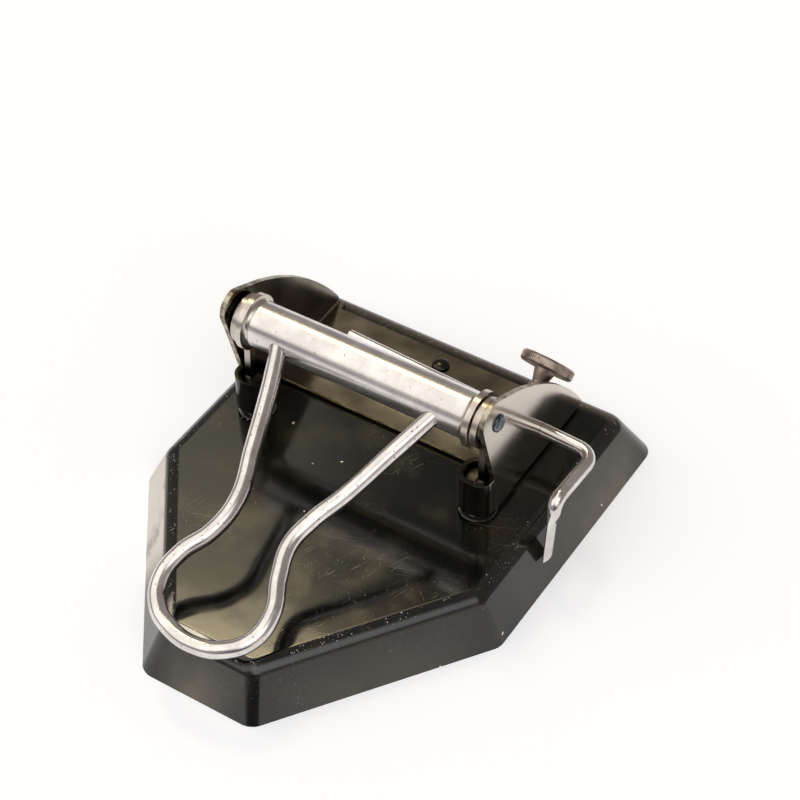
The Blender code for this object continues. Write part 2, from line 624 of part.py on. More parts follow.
def gauge_path():
    """Centre line from the inner end, round both bends and down to the paddle's foot."""
    path = [rod_inner_end]
    centre = (rod_outer_x - ROD_BEND_RADIUS, bend_corner_y - bend_tangent)
    for u, v in arc(centre, ROD_BEND_RADIUS, 90 - ROD_SKEW, 0, 8):
        path.append(Vector((u, v, rod_z)))
    centre = (leg_front_y + ROD_ELBOW_RADIUS, leg_z - ROD_ELBOW_RADIUS)
    for u, v in arc(centre, ROD_ELBOW_RADIUS, 90, 175, 7):
        path.append(Vector((rod_outer_x, u, v)))
    foot = Vector((rod_outer_x, leg_front_y - PADDLE_SETBACK, PADDLE_FOOT_HEIGHT))
    path.append(path[-1].lerp(foot, 0.5))
    path.append(foot)
    return path


def rod_mesh():
    path = gauge_path()
    origin = rod_inner_end
    curve = bpy.data.curves.new("gauge", "CURVE")
    curve.dimensions = "3D"
    curve.bevel_depth = rod_radius
    curve.bevel_resolution = 4
    curve.use_fill_caps = True
    spline = curve.splines.new("POLY")
    spline.points.add(len(path) - 1)
    for point, place in zip(spline.points, path):
        point.co = (*(place - origin), 1.0)
    holder = bpy.data.objects.new("gauge", curve)
    cutters.objects.link(holder)
    bpy.context.view_layer.update()
    mesh = mesh_of_curve(holder)
    flatten_from = leg_z - ROD_ELBOW_RADIUS
    flatten_length = ROD_DIAMETER
    for vert in mesh.vertices:
        height = vert.co.z + origin.z
        if height > flatten_from or vert.co.x < rod_outer_x - origin.x - ROD_DIAMETER:
            continue
        t = min((flatten_from - height) / flatten_length, 1.0)
        middle_x = rod_outer_x - origin.x
        drop = (flatten_from - height) / (flatten_from - PADDLE_FOOT_HEIGHT)
        middle_y = leg_front_y - PADDLE_SETBACK * drop - origin.y
        vert.co.x = middle_x + (vert.co.x - middle_x) * (1 + t * (PADDLE_THICKNESS / ROD_DIAMETER - 1))
        vert.co.y = middle_y + (vert.co.y - middle_y) * (1 + t * (PADDLE_WIDTH / ROD_DIAMETER - 1))
    return mesh, origin


gauge_mesh, gauge_origin = rod_mesh()
gauge_rod = add_piece("gauge_rod", gauge_mesh, NICKEL, gauge_origin)

# Bush: guides the rod inside the right cheek, in line with its skew, and takes the thumbscrew
bush_end = FRAME_OFFSET + cheek_inner - SEAT_GAP - BUSH_DIAMETER / 2 * math.tan(rod_skew)
bush_middle = bush_end - BUSH_LENGTH / 2
bush_place = (bush_middle, rod_y_at(bush_middle), rod_z)
gauge_bush = add_piece("gauge_bush", round_bar(BUSH_DIAMETER / 2, BUSH_LENGTH, "X", 32), STEEL, bush_place)
bush_bore = add_tool("bush_bore", round_bar(rod_radius + RUNNING_GAP, 3 * BUSH_LENGTH, "X", 32), bush_place)
gauge_bush.rotation_euler = (0, 0, -rod_skew)
bush_bore.rotation_euler = (0, 0, -rod_skew)
shape(gauge_bush, bush_bore)
screw_turn = (screw_slope - math.pi / 2, 0, -rod_skew)
screw_axis = Matrix.Rotation(-rod_skew, 3, "Z") @ Vector((0, math.cos(screw_slope), math.sin(screw_slope)))
screw_foot = Vector((screw_x, rod_y_at(screw_x), rod_z))
screw_hole = add_tool("screw_hole", round_bar(SCREW_DIAMETER / 2 + RUNNING_GAP, BUSH_DIAMETER, "Z", 24),
                      screw_foot + screw_axis * BUSH_DIAMETER / 2)
screw_hole.rotation_euler = screw_turn
shape(gauge_bush, screw_hole)

# Thumbscrew: turned about an axis that leans back from the rod
tip = rod_radius + SEAT_GAP
head_low = SCREW_HEAD_DISTANCE - SCREW_HEAD_THICKNESS / 2
head_high = SCREW_HEAD_DISTANCE + SCREW_HEAD_THICKNESS / 2
edge = SCREW_HEAD_THICKNESS * 0.18
screw_head = SCREW_HEAD_DIAMETER / 2
screw_shank = SCREW_DIAMETER / 2
screw_profile = [
    (0, head_high), (screw_head - edge, head_high), (screw_head, head_high - edge),
    (screw_head, head_low + edge), (screw_head - edge, head_low), (SCREW_NECK_DIAMETER / 2, head_low),
    (screw_shank, head_low - SCREW_NECK_LENGTH), (screw_shank, tip), (0, tip),
]
thumbscrew = turned("thumbscrew", screw_profile, TARNISHED_BRASS, screw_foot, steps=48)
thumbscrew.rotation_euler = screw_turn
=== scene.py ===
import math

import bmesh
import bpy
from mathutils import Matrix, Vector


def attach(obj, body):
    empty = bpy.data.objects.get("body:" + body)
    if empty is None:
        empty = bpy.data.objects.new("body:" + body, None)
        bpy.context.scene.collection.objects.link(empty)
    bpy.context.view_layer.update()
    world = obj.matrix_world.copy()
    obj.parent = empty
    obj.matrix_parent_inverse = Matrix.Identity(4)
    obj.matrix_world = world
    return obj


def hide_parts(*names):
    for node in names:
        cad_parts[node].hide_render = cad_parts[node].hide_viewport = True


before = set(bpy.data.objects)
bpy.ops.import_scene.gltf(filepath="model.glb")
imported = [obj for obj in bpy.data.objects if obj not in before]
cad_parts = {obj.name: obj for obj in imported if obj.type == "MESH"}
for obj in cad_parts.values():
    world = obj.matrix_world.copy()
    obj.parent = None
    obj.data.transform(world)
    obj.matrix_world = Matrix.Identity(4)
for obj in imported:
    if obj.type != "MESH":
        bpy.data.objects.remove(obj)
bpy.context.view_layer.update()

# Camera
# A long lens over half a metre away, above the machine's front and to its right, tipped by a degree or two.
# The perforator is seen with its press handle towards the viewer's left and its side gauge to the right.
EYE = Vector((0.2343, -0.3222, 0.4465))
AIM = Vector((-0.0076, 0.0378, 0.0108))
TIP = math.radians(-1.67)

lens = bpy.data.cameras.new("camera")
lens.lens = 101.07
lens.sensor_width = 36.0
lens.clip_start = 0.01
camera = bpy.data.objects.new("camera", lens)
bpy.context.scene.collection.objects.link(camera)
towards_eye = (EYE - AIM).normalized()
level = Vector((0, 0, 1)).cross(towards_eye).normalized()
upright = towards_eye.cross(level)
across = level * math.cos(TIP) + upright * math.sin(TIP)
above = upright * math.cos(TIP) - level * math.sin(TIP)
camera.matrix_world = Matrix.Translation(EYE) @ Matrix((across, above, towards_eye)).transposed().to_4x4()
bpy.context.scene.camera = camera
bpy.context.scene.view_settings.view_transform = "Standard"


# Table and light
# The machine stands on a plain white table in a pale room, under a wide skylight to its left. The japan and
# the nickel are mirrors, so what they show is this room: soft patches of light and dark, far away.
TABLE_GLOW = 0.34       # how white the table shows, beyond what the room lights


def put(tree, kind, feeds=None, **settings):
    """Adds a node: settings are its own choices, feeds are its inputs, each a value or a socket to join."""
    item = tree.nodes.new(kind)
    for name, value in settings.items():
        setattr(item, name, value)
    for key, feed in (feeds or {}).items():
        if isinstance(feed, bpy.types.NodeSocket):
            tree.links.new(feed, item.inputs[key])
        else:
            item.inputs[key].default_value = feed
    return item


def maths(tree, operation, first, second, third=None):
    """One step of arithmetic on values or sockets."""
    feeds = {0: first, 1: second}
    if third is not None:
        feeds[2] = third
    return put(tree, "ShaderNodeMath", feeds, operation=operation).outputs[0]


def product(tree, first, *others):
    """Multiplies values or sockets together."""
    for other in others:
        first = maths(tree, "MULTIPLY", first, other)
    return first


def xyz(tree, vector):
    """Splits a vector or a colour into its three values."""
    return put(tree, "ShaderNodeSeparateXYZ", {"Vector": vector}).outputs


def rise(tree, value, low, high, bottom=0.0, top=1.0):
    """A smooth step from bottom to top while a value goes from low to high."""
    feeds = {"Value": value, "From Min": low, "From Max": high, "To Min": bottom, "To Max": top}
    return put(tree, "ShaderNodeMapRange", feeds, interpolation_type="SMOOTHSTEP").outputs[0]


def blend(tree, share, first, second, kind="MIX"):
    """Mixes two colours by a share."""
    feeds = {0: share, 6: first, 7: second}
    return put(tree, "ShaderNodeMix", feeds, data_type="RGBA", blend_type=kind).outputs[2]


room = bpy.data.worlds.new("room")
bpy.context.scene.world = room
room.use_nodes = True
air = room.node_tree
air.nodes.clear()
looking = put(air, "ShaderNodeTexCoord").outputs["Generated"]
height = xyz(air, looking)["Z"]
walls = blend(air, rise(air, height, 0.0, 0.45), (0.35, 0.32, 0.34, 1), (0.30, 0.28, 0.26, 1))
# Each patch: what it is, how it mixes in, where it lies, where it ends and is full (degrees), and its colour
PATCHES = [
    ("corner of the room", "MULTIPLY", (-0.28, 0.58, 0.77), 9, 3, (0.35, 0.38, 0.36, 1)),
    ("dark front of the room", "MULTIPLY", (0.55, -0.83, 0.08), 34, 18, (0.22, 0.24, 0.30, 1)),
    ("skylight", "ADD", (-0.45, -0.35, 0.82), 42, 33, (1.05, 1.02, 0.98, 1)),
    ("lamp", "ADD", (-0.399, 0.406, 0.822), 5.6, 4.5, (9.5, 7.9, 4.8, 1)),
    ("lamp's shade", "ADD", (-0.322, 0.443, 0.837), 5.8, 5.0, (1.8, 1.4, 0.9, 1)),
    ("lamp's halo", "ADD", (-0.437, 0.453, 0.777), 7.0, 2.0, (0.40, 0.37, 0.26, 1)),
    ("left wall", "ADD", (-0.491, 0.474, 0.731), 8, 2, (0.80, 0.72, 0.52, 1)),
    ("high window", "ADD", (0.50, -0.45, 0.74), 30, 14, (1.40, 1.42, 1.45, 1)),
    ("right wall", "ADD", (0.93, -0.36, 0.08), 20, 6, (0.42, 0.37, 0.29, 1)),
]
light = walls
for name, kind, aim, outer, inner, colour in PATCHES:
    facing = put(air, "ShaderNodeVectorMath", {0: looking, 1: Vector(aim).normalized()},
                 operation="DOT_PRODUCT")
    share = rise(air, facing.outputs["Value"], math.cos(math.radians(outer)), math.cos(math.radians(inner)))
    light = blend(air, share, light, colour, kind)
ray = put(air, "ShaderNodeLightPath")
seen = blend(air, ray.outputs["Is Camera Ray"], light, (1, 1, 1, 1))
shine = put(air, "ShaderNodeBackground", {"Color": seen, "Strength": 1.0})
put(air, "ShaderNodeOutputWorld", {"Surface": shine.outputs[0]})

bpy.ops.object.select_all(action="DESELECT")
bpy.ops.mesh.primitive_plane_add(size=6.0, location=(0, 0, 0))
table = bpy.context.object
table.name = "table"
white = bpy.data.materials.new("white_table")
white.use_nodes = True
tree = white.node_tree
paint = tree.nodes["Principled BSDF"]
paint.inputs["Base Color"].default_value = (0.79, 0.80, 0.83, 1)
paint.inputs["Roughness"].default_value = 0.9
paint.inputs["Specular IOR Level"].default_value = 0.0
paint.inputs["Emission Color"].default_value = (1, 1, 1, 1)
ray = put(tree, "ShaderNodeLightPath")
watched = maths(tree, "MAXIMUM", ray.outputs["Is Camera Ray"], ray.outputs["Is Glossy Ray"])
watched = maths(tree, "MAXIMUM", watched, ray.outputs["Is Transmission Ray"])
tree.links.new(product(tree, watched, TABLE_GLOW), paint.inputs["Emission Strength"])
table.data.materials.append(white)

# Base
# A shallow pan pressed from one sheet of steel: a shield-shaped top, splayed sides all round, open below.
# It is dipped in black japan, which has chipped along the top edge and carries years of fine scratches.
BASE_WIDTH = 0.1112
BASE_LENGTH = 0.1366
BASE_HEIGHT = 0.0141
BASE_SPLAY = 0.0068
BASE_SHEET = 0.0014
BASE_FRONT_WIDTH = 0.0333
BASE_SHOULDER_Y = BASE_LENGTH / 2 - 0.0825
BASE_CORNER_RADIUS = 0.0048
BASE_EDGE_RADIUS = 0.0030
HOLE_SPACING = 0.0700
MIDDLE_X = -0.0024      # the working parts sit left of the base's middle
PUNCH_Y = 0.0128
DIE_RADIUS = 0.0051
SIDES = (("left", -1), ("right", 1))
SEAT_GAP = 0.0003       # between pieces that seat on one another
PRESS_GAP = 0.00006     # round a pressed-in piece
PIN_GAP = 0.00015       # round a pin or a rod in its hole
WELD = 0.000003         # points nearer than this become one
NEAR = 0.0001           # how exactly a point's place is tested


def start(name, add, **how):
    """Adds a primitive at its size and place, with the place in its mesh."""
    bpy.ops.object.select_all(action="DESELECT")
    add(**how)
    piece = bpy.context.object
    piece.name = name
    piece.data.name = name
    bpy.ops.object.transform_apply(location=True, rotation=True, scale=True)
    return piece


def pick(test, kind="faces"):
    """In edit mode, selects the faces, edges or corners that pass a test."""
    bpy.ops.mesh.select_mode(type={"faces": "FACE", "edges": "EDGE", "verts": "VERT"}[kind])
    bpy.ops.mesh.select_all(action="DESELECT")
    grid = bmesh.from_edit_mesh(bpy.context.object.data)
    for item in getattr(grid, kind):
        item.select_set(bool(test(item)))
    grid.select_flush_mode()
    bmesh.update_edit_mesh(bpy.context.object.data)


def saw(point, outward, fill=True, keep_both=False):
    """In edit mode, saws along a plane and drops what lies outward of it."""
    bpy.ops.mesh.select_mode(type="FACE")
    bpy.ops.mesh.select_all(action="SELECT")
    bpy.ops.mesh.bisect(plane_co=point, plane_no=outward, use_fill=fill and not keep_both,
                        clear_outer=not keep_both, threshold=0.000002)


def work(piece, kind, **settings):
    """Puts one modifier on a piece and applies it."""
    bpy.ops.object.select_all(action="DESELECT")
    piece.select_set(True)
    bpy.context.view_layer.objects.active = piece
    step = piece.modifiers.new(kind.lower(), kind)
    for name, value in settings.items():
        setattr(step, name, value)
    bpy.ops.object.modifier_apply(modifier=step.name)


def drill(piece, radius, centre, depth, turn=(0, 0, 0), sides=64):
    """Drills a round hole through a piece."""
    bit = start("bit", bpy.ops.mesh.primitive_cylinder_add, vertices=sides, radius=radius, depth=depth,
                location=centre, rotation=turn)
    work(piece, "BOOLEAN", operation="DIFFERENCE", solver="EXACT", object=bit)
    bpy.data.objects.remove(bit, do_unlink=True)


def ease(piece, width, segments=2, angle=32):
    """Breaks the sharp edges of a piece and smooths its round faces."""
    if width:
        work(piece, "BEVEL", width=width, segments=segments, limit_method="ANGLE",
             angle_limit=math.radians(angle))
    bpy.ops.object.select_all(action="DESELECT")
    piece.select_set(True)
    bpy.context.view_layer.objects.active = piece
    bpy.ops.object.shade_smooth_by_angle(angle=math.radians(angle))
    work(piece, "WEIGHTED_NORMAL", keep_sharp=True)


base = start("japanned_base", bpy.ops.mesh.primitive_cube_add, size=1.0, location=(0, 0, BASE_HEIGHT / 2),
             scale=(BASE_WIDTH + 0.01, BASE_LENGTH + 0.01, BASE_HEIGHT))
bpy.ops.object.mode_set(mode="EDIT")
lean = math.atan2(BASE_SPLAY, BASE_HEIGHT)
diagonal = Vector((BASE_WIDTH / 2 - BASE_FRONT_WIDTH / 2, BASE_SHOULDER_Y + BASE_LENGTH / 2, 0)).normalized()
half_width = BASE_WIDTH / 2
half_length = BASE_LENGTH / 2
sides = [
    ((half_width, 0, 0), (1, 0)), ((-half_width, 0, 0), (-1, 0)),
    ((0, half_length, 0), (0, 1)), ((0, -half_length, 0), (0, -1)),
    ((half_width, BASE_SHOULDER_Y, 0), (diagonal.y, -diagonal.x)),
    ((-half_width, BASE_SHOULDER_Y, 0), (-diagonal.y, -diagonal.x)),
]
for foot, (out_x, out_y) in sides:
    saw(foot, (out_x * math.cos(lean), out_y * math.cos(lean), math.sin(lean)))

shoulder_turn = math.atan2(diagonal.x, diagonal.y)
corners = [
    (lambda y: y > half_length - 0.01, math.pi / 2),
    (lambda y: y < -half_length + 0.01, math.pi / 2 - shoulder_turn),
    (lambda y: abs(y - BASE_SHOULDER_Y) < 0.01, shoulder_turn),
]
for here, bend in corners:
    pick(lambda e: abs(e.verts[0].co.z - e.verts[1].co.z) > BASE_HEIGHT / 2
         and here((e.verts[0].co.y + e.verts[1].co.y) / 2), "edges")
    bpy.ops.mesh.bevel(offset=BASE_CORNER_RADIUS * math.tan(bend / 2), segments=10, affect="EDGES")
pick(lambda e: all(v.co.z > BASE_HEIGHT - NEAR for v in e.verts), "edges")
bpy.ops.mesh.bevel(offset=BASE_EDGE_RADIUS, segments=8, affect="EDGES")
pick(lambda f: f.normal.z < -0.9)
bpy.ops.mesh.delete(type="ONLY_FACE")
bpy.ops.object.mode_set(mode="OBJECT")
work(base, "SOLIDIFY", thickness=BASE_SHEET, offset=-1.0, use_even_offset=True)
bpy.ops.object.mode_set(mode="EDIT")
saw((0, 0, 0), (0, 0, -1))
bpy.ops.object.mode_set(mode="OBJECT")
for _, sign in SIDES:
    drill(base, DIE_RADIUS + PRESS_GAP, (MIDDLE_X + sign * HOLE_SPACING / 2, PUNCH_Y, BASE_HEIGHT), 0.006)
ease(base, 0.0)


# How use marks a finish: chips and pits are small spots, scratches are long thin lines in a few
# directions, and clouds are the uneven haze that hands and dust leave. Every finish here draws on it.
def noise(tree, where, scale, detail):
    """An uneven pattern in space, as a value from 0 to 1."""
    return put(tree, "ShaderNodeTexNoise", {"Vector": where, "Scale": scale, "Detail": detail}).outputs[0]


marks = bpy.data.node_groups.new("marks_of_use", "ShaderNodeTree")
for name, start_value in (("Spot Size", 0.0008), ("Spots", 0.2), ("Scratches", 0.5), ("Cloud Size", 0.01)):
    socket = marks.interface.new_socket(name, in_out="INPUT", socket_type="NodeSocketFloat")
    socket.default_value = start_value
for name in ("Spots", "Scratches", "Clouds"):
    marks.interface.new_socket(name, in_out="OUTPUT", socket_type="NodeSocketFloat")
asked = marks.nodes.new("NodeGroupInput").outputs
where = put(marks, "ShaderNodeTexCoord").outputs["Object"]
wander = put(marks, "ShaderNodeTexNoise", {"Vector": where, "Scale": 900.0, "Detail": 2.0}).outputs["Color"]
wander = put(marks, "ShaderNodeVectorMath", {0: wander, 1: (-0.5, -0.5, -0.5)}, operation="ADD").outputs[0]
wander = put(marks, "ShaderNodeVectorMath", {0: wander, "Scale": 0.0009}, operation="SCALE").outputs[0]
shaken = put(marks, "ShaderNodeVectorMath", {0: where, 1: wander}, operation="ADD").outputs[0]
spot_scale = maths(marks, "DIVIDE", 1.0, asked["Spot Size"])
cells = put(marks, "ShaderNodeTexVoronoi", {"Vector": shaken, "Scale": spot_scale})
chance = xyz(marks, cells.outputs["Color"])
reach = maths(marks, "MULTIPLY_ADD", chance[1], 0.28, 0.06)
spot = rise(marks, maths(marks, "SUBTRACT", reach, cells.outputs["Distance"]), 0.0, 0.06)
spots = product(marks, spot, maths(marks, "LESS_THAN", chance[0], asked["Spots"]))
patches = noise(marks, where, 45.0, 1.0)
lines = None
for angle, tilt in ((0.35, 0.1), (1.25, 0.0), (2.30, -0.15)):
    turned = put(marks, "ShaderNodeVectorRotate", {"Vector": where, "Rotation": (tilt, tilt, angle)},
                 rotation_type="EULER_XYZ").outputs[0]
    drawn = put(marks, "ShaderNodeVectorMath", {0: turned, 1: (5200.0, 75.0, 2600.0)}, operation="MULTIPLY")
    line = rise(marks, noise(marks, drawn.outputs[0], 1.0, 0.0), 0.775, 0.83)
    lines = line if lines is None else maths(marks, "MAXIMUM", lines, line)
lines = product(marks, lines, rise(marks, patches, 0.46, 0.66), asked["Scratches"])
clouds = noise(marks, where, maths(marks, "DIVIDE", 1.0, asked["Cloud Size"]), 3.0)
put(marks, "NodeGroupOutput", {"Spots": spots, "Scratches": lines, "Clouds": clouds})


def finish(name, colour, roughness, metallic=0.0):
    """A new finish: its node tree, its shader, and the values all over the surface."""
    made = bpy.data.materials.new(name)
    made.use_nodes = True
    shader = made.node_tree.nodes["Principled BSDF"]
    shader.inputs["Base Color"].default_value = (*colour, 1)
    shader.inputs["Roughness"].default_value = roughness
    shader.inputs["Metallic"].default_value = metallic
    return made, made.node_tree, shader


def marked(tree, spot_size, spots, scratches, cloud_size):
    """Places the marks of use in a finish, with its own amounts."""
    item = tree.nodes.new("ShaderNodeGroup")
    item.node_tree = marks
    amounts = {"Spot Size": spot_size, "Spots": spots, "Scratches": scratches, "Cloud Size": cloud_size}
    for key, value in amounts.items():
        item.inputs[key].default_value = value
    return item.outputs


def emboss(tree, shader, height, strength, distance):
    """Gives a finish its fine relief."""
    relief = put(tree, "ShaderNodeBump", {"Height": height, "Strength": strength, "Distance": distance})
    tree.links.new(relief.outputs[0], shader.inputs["Normal"])


def black_japan(name, bare_and_glint_tone, chips, edge_chips, scratches):
    """Black japan: a deep gloss, amber where it lies thick, chipped to bright metal and hair-scratched."""
    made, tree, shader = finish(name, (0.006, 0.006, 0.0045), 0.12)
    shader.inputs["IOR"].default_value = 1.6
    use = marked(tree, 0.0016, chips, scratches, 0.012)
    edge = marked(tree, 0.0007, edge_chips, 0.0, 0.003)
    place = put(tree, "ShaderNodeTexCoord").outputs
    facing = xyz(tree, place["Normal"])
    spot = xyz(tree, place["Object"])
    rim = product(tree, rise(tree, facing["Z"], 0.72, 0.93), rise(tree, facing["Z"], 0.9998, 0.995),
                  rise(tree, edge["Clouds"], 0.46, 0.58))
    bare_and_glint = maths(tree, "MAXIMUM", use["Spots"], product(tree, edge["Spots"], rim))

    # Dust and hand wear dull the splayed sides, most at the foot and away from the corners, and the back strip
    beside = maths(tree, "ABSOLUTE", spot["X"], 0.0)
    plan = put(tree, "ShaderNodeCombineXYZ", {"X": beside, "Y": spot["Y"]}).outputs[0]
    clear = None
    for corner_x, corner_y in ((BASE_FRONT_WIDTH / 2, -BASE_LENGTH / 2), (BASE_WIDTH / 2, BASE_SHOULDER_Y),
                               (BASE_WIDTH / 2, BASE_LENGTH / 2)):
        gap = put(tree, "ShaderNodeVectorMath", {0: plan, 1: (corner_x, corner_y, 0)}, operation="DISTANCE")
        gap = gap.outputs["Value"]
        clear = gap if clear is None else maths(tree, "MINIMUM", clear, gap)
    # Painted sheen: the pale haze is about three times as strong on the front faces and towards the back,
    # lightening them.
    sheen_share = maths(tree, "MAXIMUM", rise(tree, facing["Y"], -0.60, -0.85), rise(tree, spot["Y"], 0.0, 0.050))
    dust_and_sheen = product(tree, rise(tree, clear, 0.003, 0.018), rise(tree, facing["Z"], 0.62, 0.46),
                   rise(tree, spot["Z"], BASE_HEIGHT, 0.0, 0.30, 1.0),
                   rise(tree, use["Clouds"], 0.25, 0.65, 0.6, 1.0),
                   maths(tree, "MULTIPLY_ADD", sheen_share, 0.66, 0.34))
    behind = product(tree, rise(tree, spot["Y"], 0.0570, 0.0610), rise(tree, facing["Z"], 0.80, 0.95, 0.0, 0.8))
    dust_and_sheen = maths(tree, "MAXIMUM", dust_and_sheen, behind)

    # The left shoulder, where the machine is held, is rubbed through to the steel
    held = product(tree, rise(tree, facing["X"], -0.60, -0.70), rise(tree, spot["Y"], -0.048, -0.038),
                   rise(tree, spot["Y"], -0.0090, -0.0150),
                   rise(tree, spot["Z"], BASE_HEIGHT, BASE_HEIGHT - 0.0035),
                   rise(tree, use["Clouds"], 0.32, 0.50, 0.3, 1.0))
    bare_and_glint = maths(tree, "MAXIMUM", bare_and_glint, held)
    # Painted highlight: a patch of bare steel on the front of the rounded top edge, inside the handle's loop.
    painted_glint = product(tree, rise(tree, spot["X"], 0.0010, -0.0030), rise(tree, spot["X"], -0.0185, -0.0155),
                   rise(tree, facing["Y"], -0.10, -0.20), rise(tree, facing["Z"], 0.80, 0.90),
                   rise(tree, edge["Clouds"], 0.28, 0.44))
    bare_and_glint = maths(tree, "MAXIMUM", bare_and_glint, painted_glint)

    thick = rise(tree, use["Clouds"], 0.42, 0.72)
    lacquer = blend(tree, thick, (0.0035, 0.0040, 0.0032, 1), (0.014, 0.011, 0.0045, 1))
    # Dust and painted sheen: a pale brown haze over the japan.
    lacquer = blend(tree, dust_and_sheen, lacquer, (0.140, 0.116, 0.082, 1))
    lacquer = blend(tree, product(tree, use["Scratches"], 0.5), lacquer, (0.26, 0.24, 0.20, 1))
    tree.links.new(blend(tree, bare_and_glint, lacquer, bare_and_glint_tone), shader.inputs["Base Color"])
    tree.links.new(product(tree, bare_and_glint, 0.9), shader.inputs["Metallic"])
    dull = maths(tree, "MULTIPLY_ADD", thick, 0.06, 0.09)
    for cause, amount in ((dust_and_sheen, 0.10), (use["Scratches"], 0.25), (bare_and_glint, 0.2)):
        dull = maths(tree, "ADD", dull, product(tree, cause, amount))
    tree.links.new(dull, shader.inputs["Roughness"])
    ripple = noise(tree, place["Object"], 90.0, 2.0)
    skin = maths(tree, "SUBTRACT", product(tree, ripple, 0.9), product(tree, bare_and_glint, 0.8))
    emboss(tree, shader, skin, 0.35, 0.00006)
    return made


base_japan = black_japan("base_japan", (0.66, 0.61, 0.53, 1), 0.012, 0.80, 0.8)
base.data.materials.clear()
base.data.materials.append(base_japan)
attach(base, "base")
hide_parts("base_pan")

# Dies
# Two hardened steel bushes pressed up into the base from below; the punches enter their bores.
# They are turned from bar, with a flange under the base's sheet, and ground flush with the base's top.
DIE_BORE = 0.0035
DIE_FLANGE = 0.0067
DIE_FLANGE_TOP = BASE_HEIGHT - BASE_SHEET - SEAT_GAP
DIE_FLANGE_FOOT = DIE_FLANGE_TOP - 0.0014


def turn(name, outline, centre, axis, steps=96, closed=False):
    """Turns a piece on the lathe: a point is drawn out along half its outline, then spun about the axis.

    The outline is a list of (radius, distance along the axis).
    """
    axis = Vector(axis).normalized()
    centre = Vector(centre)
    away = axis.orthogonal().normalized()
    points = [centre + away * radius + axis * along for radius, along in outline]
    if closed:
        points.append(points[0])
    piece = start(name, bpy.ops.mesh.primitive_plane_add, size=0.001, location=points[0])
    bpy.ops.object.mode_set(mode="EDIT")
    bpy.ops.mesh.select_mode(type="VERT")
    bpy.ops.mesh.select_all(action="SELECT")
    bpy.ops.mesh.merge(type="CENTER")
    for before, after in zip(points, points[1:]):
        bpy.ops.mesh.extrude_region_move(TRANSFORM_OT_translate={"value": after - before})
    bpy.ops.mesh.select_all(action="SELECT")
    bpy.ops.mesh.spin(steps=steps, angle=2 * math.pi, center=centre, axis=axis)
    bpy.ops.mesh.select_all(action="SELECT")
    bpy.ops.mesh.remove_doubles(threshold=WELD)
    bpy.ops.mesh.normals_make_consistent(inside=False)
    bpy.ops.object.mode_set(mode="OBJECT")
    return piece


steel, tree, shader = finish("dulled_steel", (0.42, 0.41, 0.40), 0.32, 1.0)
use = marked(tree, 0.0006, 0.35, 0.8, 0.003)
tone = blend(tree, rise(tree, use["Clouds"], 0.35, 0.7), (0.30, 0.29, 0.28, 1), (0.46, 0.45, 0.43, 1))
tree.links.new(blend(tree, use["Spots"], tone, (0.12, 0.09, 0.07, 1)), shader.inputs["Base Color"])
tree.links.new(maths(tree, "MULTIPLY_ADD", use["Clouds"], 0.3, 0.18), shader.inputs["Roughness"])
emboss(tree, shader, use["Scratches"], 0.3, 0.00003)

for side, sign in SIDES:
    outline = [(DIE_BORE, BASE_HEIGHT), (DIE_RADIUS, BASE_HEIGHT), (DIE_RADIUS, DIE_FLANGE_TOP),
               (DIE_FLANGE, DIE_FLANGE_TOP), (DIE_FLANGE, DIE_FLANGE_FOOT), (DIE_BORE, DIE_FLANGE_FOOT)]
    middle = (MIDDLE_X + sign * HOLE_SPACING / 2, PUNCH_Y, 0)
    die = turn(side + "_die_bush", outline, middle, (0, 0, 1), closed=True)
    ease(die, 0.00012)
    die.data.materials.append(steel)
    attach(die, "base")
    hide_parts(side + "_die")

# Bracket
# One sheet folded into a plate and two cheeks that carry the pivots; its front edge stops the paper. The
# cheeks' forward ends are rolled into guides for the punches, square with round corners. Japanned, and rubbed
# bright on its edges; the right cheek's outer face has a painted pale sheen, the plate's lower edges painted
# shade.
SHEET = 0.0015
FOLD_RADIUS = 0.0021
CHEEK_X = 0.0400        # outer faces, from the bracket's middle
PLATE_Z = 0.0144
SLOT_Z = 0.0161         # paper passes below this
STOP_Y = 0.0243
CHEEK_BACK_Y = 0.0579
PLATE_BACK_Y = 0.0555
PLATE_HALF = 0.0364
CHEEK_BACK_Z = 0.0176
CHEEK_BULGE = 0.0046
PIVOT_Y = 0.0141
PIVOT_Z = 0.0468
PIVOT_HOLE = 0.0021
HEAD_Y = 0.0119
HEAD_Z = 0.0498
HEAD_RADIUS = 0.0050
NECK_Y = 0.0125
GUIDE_HALF = 0.0050
GUIDE_CORNER = 0.0040
GUIDE_TOP = 0.0274
ROD_Y = 0.0368          # where the rod passes the cheek's outer face
ROD_SKEW = math.radians(2.9)
ROD_Z = 0.0245
ROD_RADIUS = 0.0019


def at_side(edge):
    """Whether an edge runs along the bracket's left or right side."""
    return (all(abs(abs(v.co.x - MIDDLE_X) - CHEEK_X) < NEAR for v in edge.verts)
            and edge.verts[0].co.x * edge.verts[1].co.x > 0)


def on_head(degrees):
    """A point of the cheeks' round head, as (y, z)."""
    angle = math.radians(degrees)
    return Vector((HEAD_Y + HEAD_RADIUS * math.cos(angle), HEAD_Z + HEAD_RADIUS * math.sin(angle)))


blank_front = HEAD_Y - HEAD_RADIUS - 0.001
blank_length = CHEEK_BACK_Y - blank_front
blank_middle = Vector((MIDDLE_X, blank_front + blank_length / 2, PLATE_Z))
bracket = start("folded_bracket", bpy.ops.mesh.primitive_plane_add, size=2 * CHEEK_X, location=blank_middle)
bpy.ops.object.mode_set(mode="EDIT")
bpy.ops.mesh.select_all(action="SELECT")
bpy.ops.transform.resize(value=(1, blank_length / (2 * CHEEK_X), 1), center_override=blank_middle)
pick(at_side, "edges")
bpy.ops.mesh.extrude_region_move(TRANSFORM_OT_translate={"value": (0, 0, 0.05)})
pick(lambda e: at_side(e) and all(v.co.z < PLATE_Z + NEAR for v in e.verts), "edges")
bpy.ops.mesh.bevel(offset=FOLD_RADIUS, segments=8, affect="EDGES")

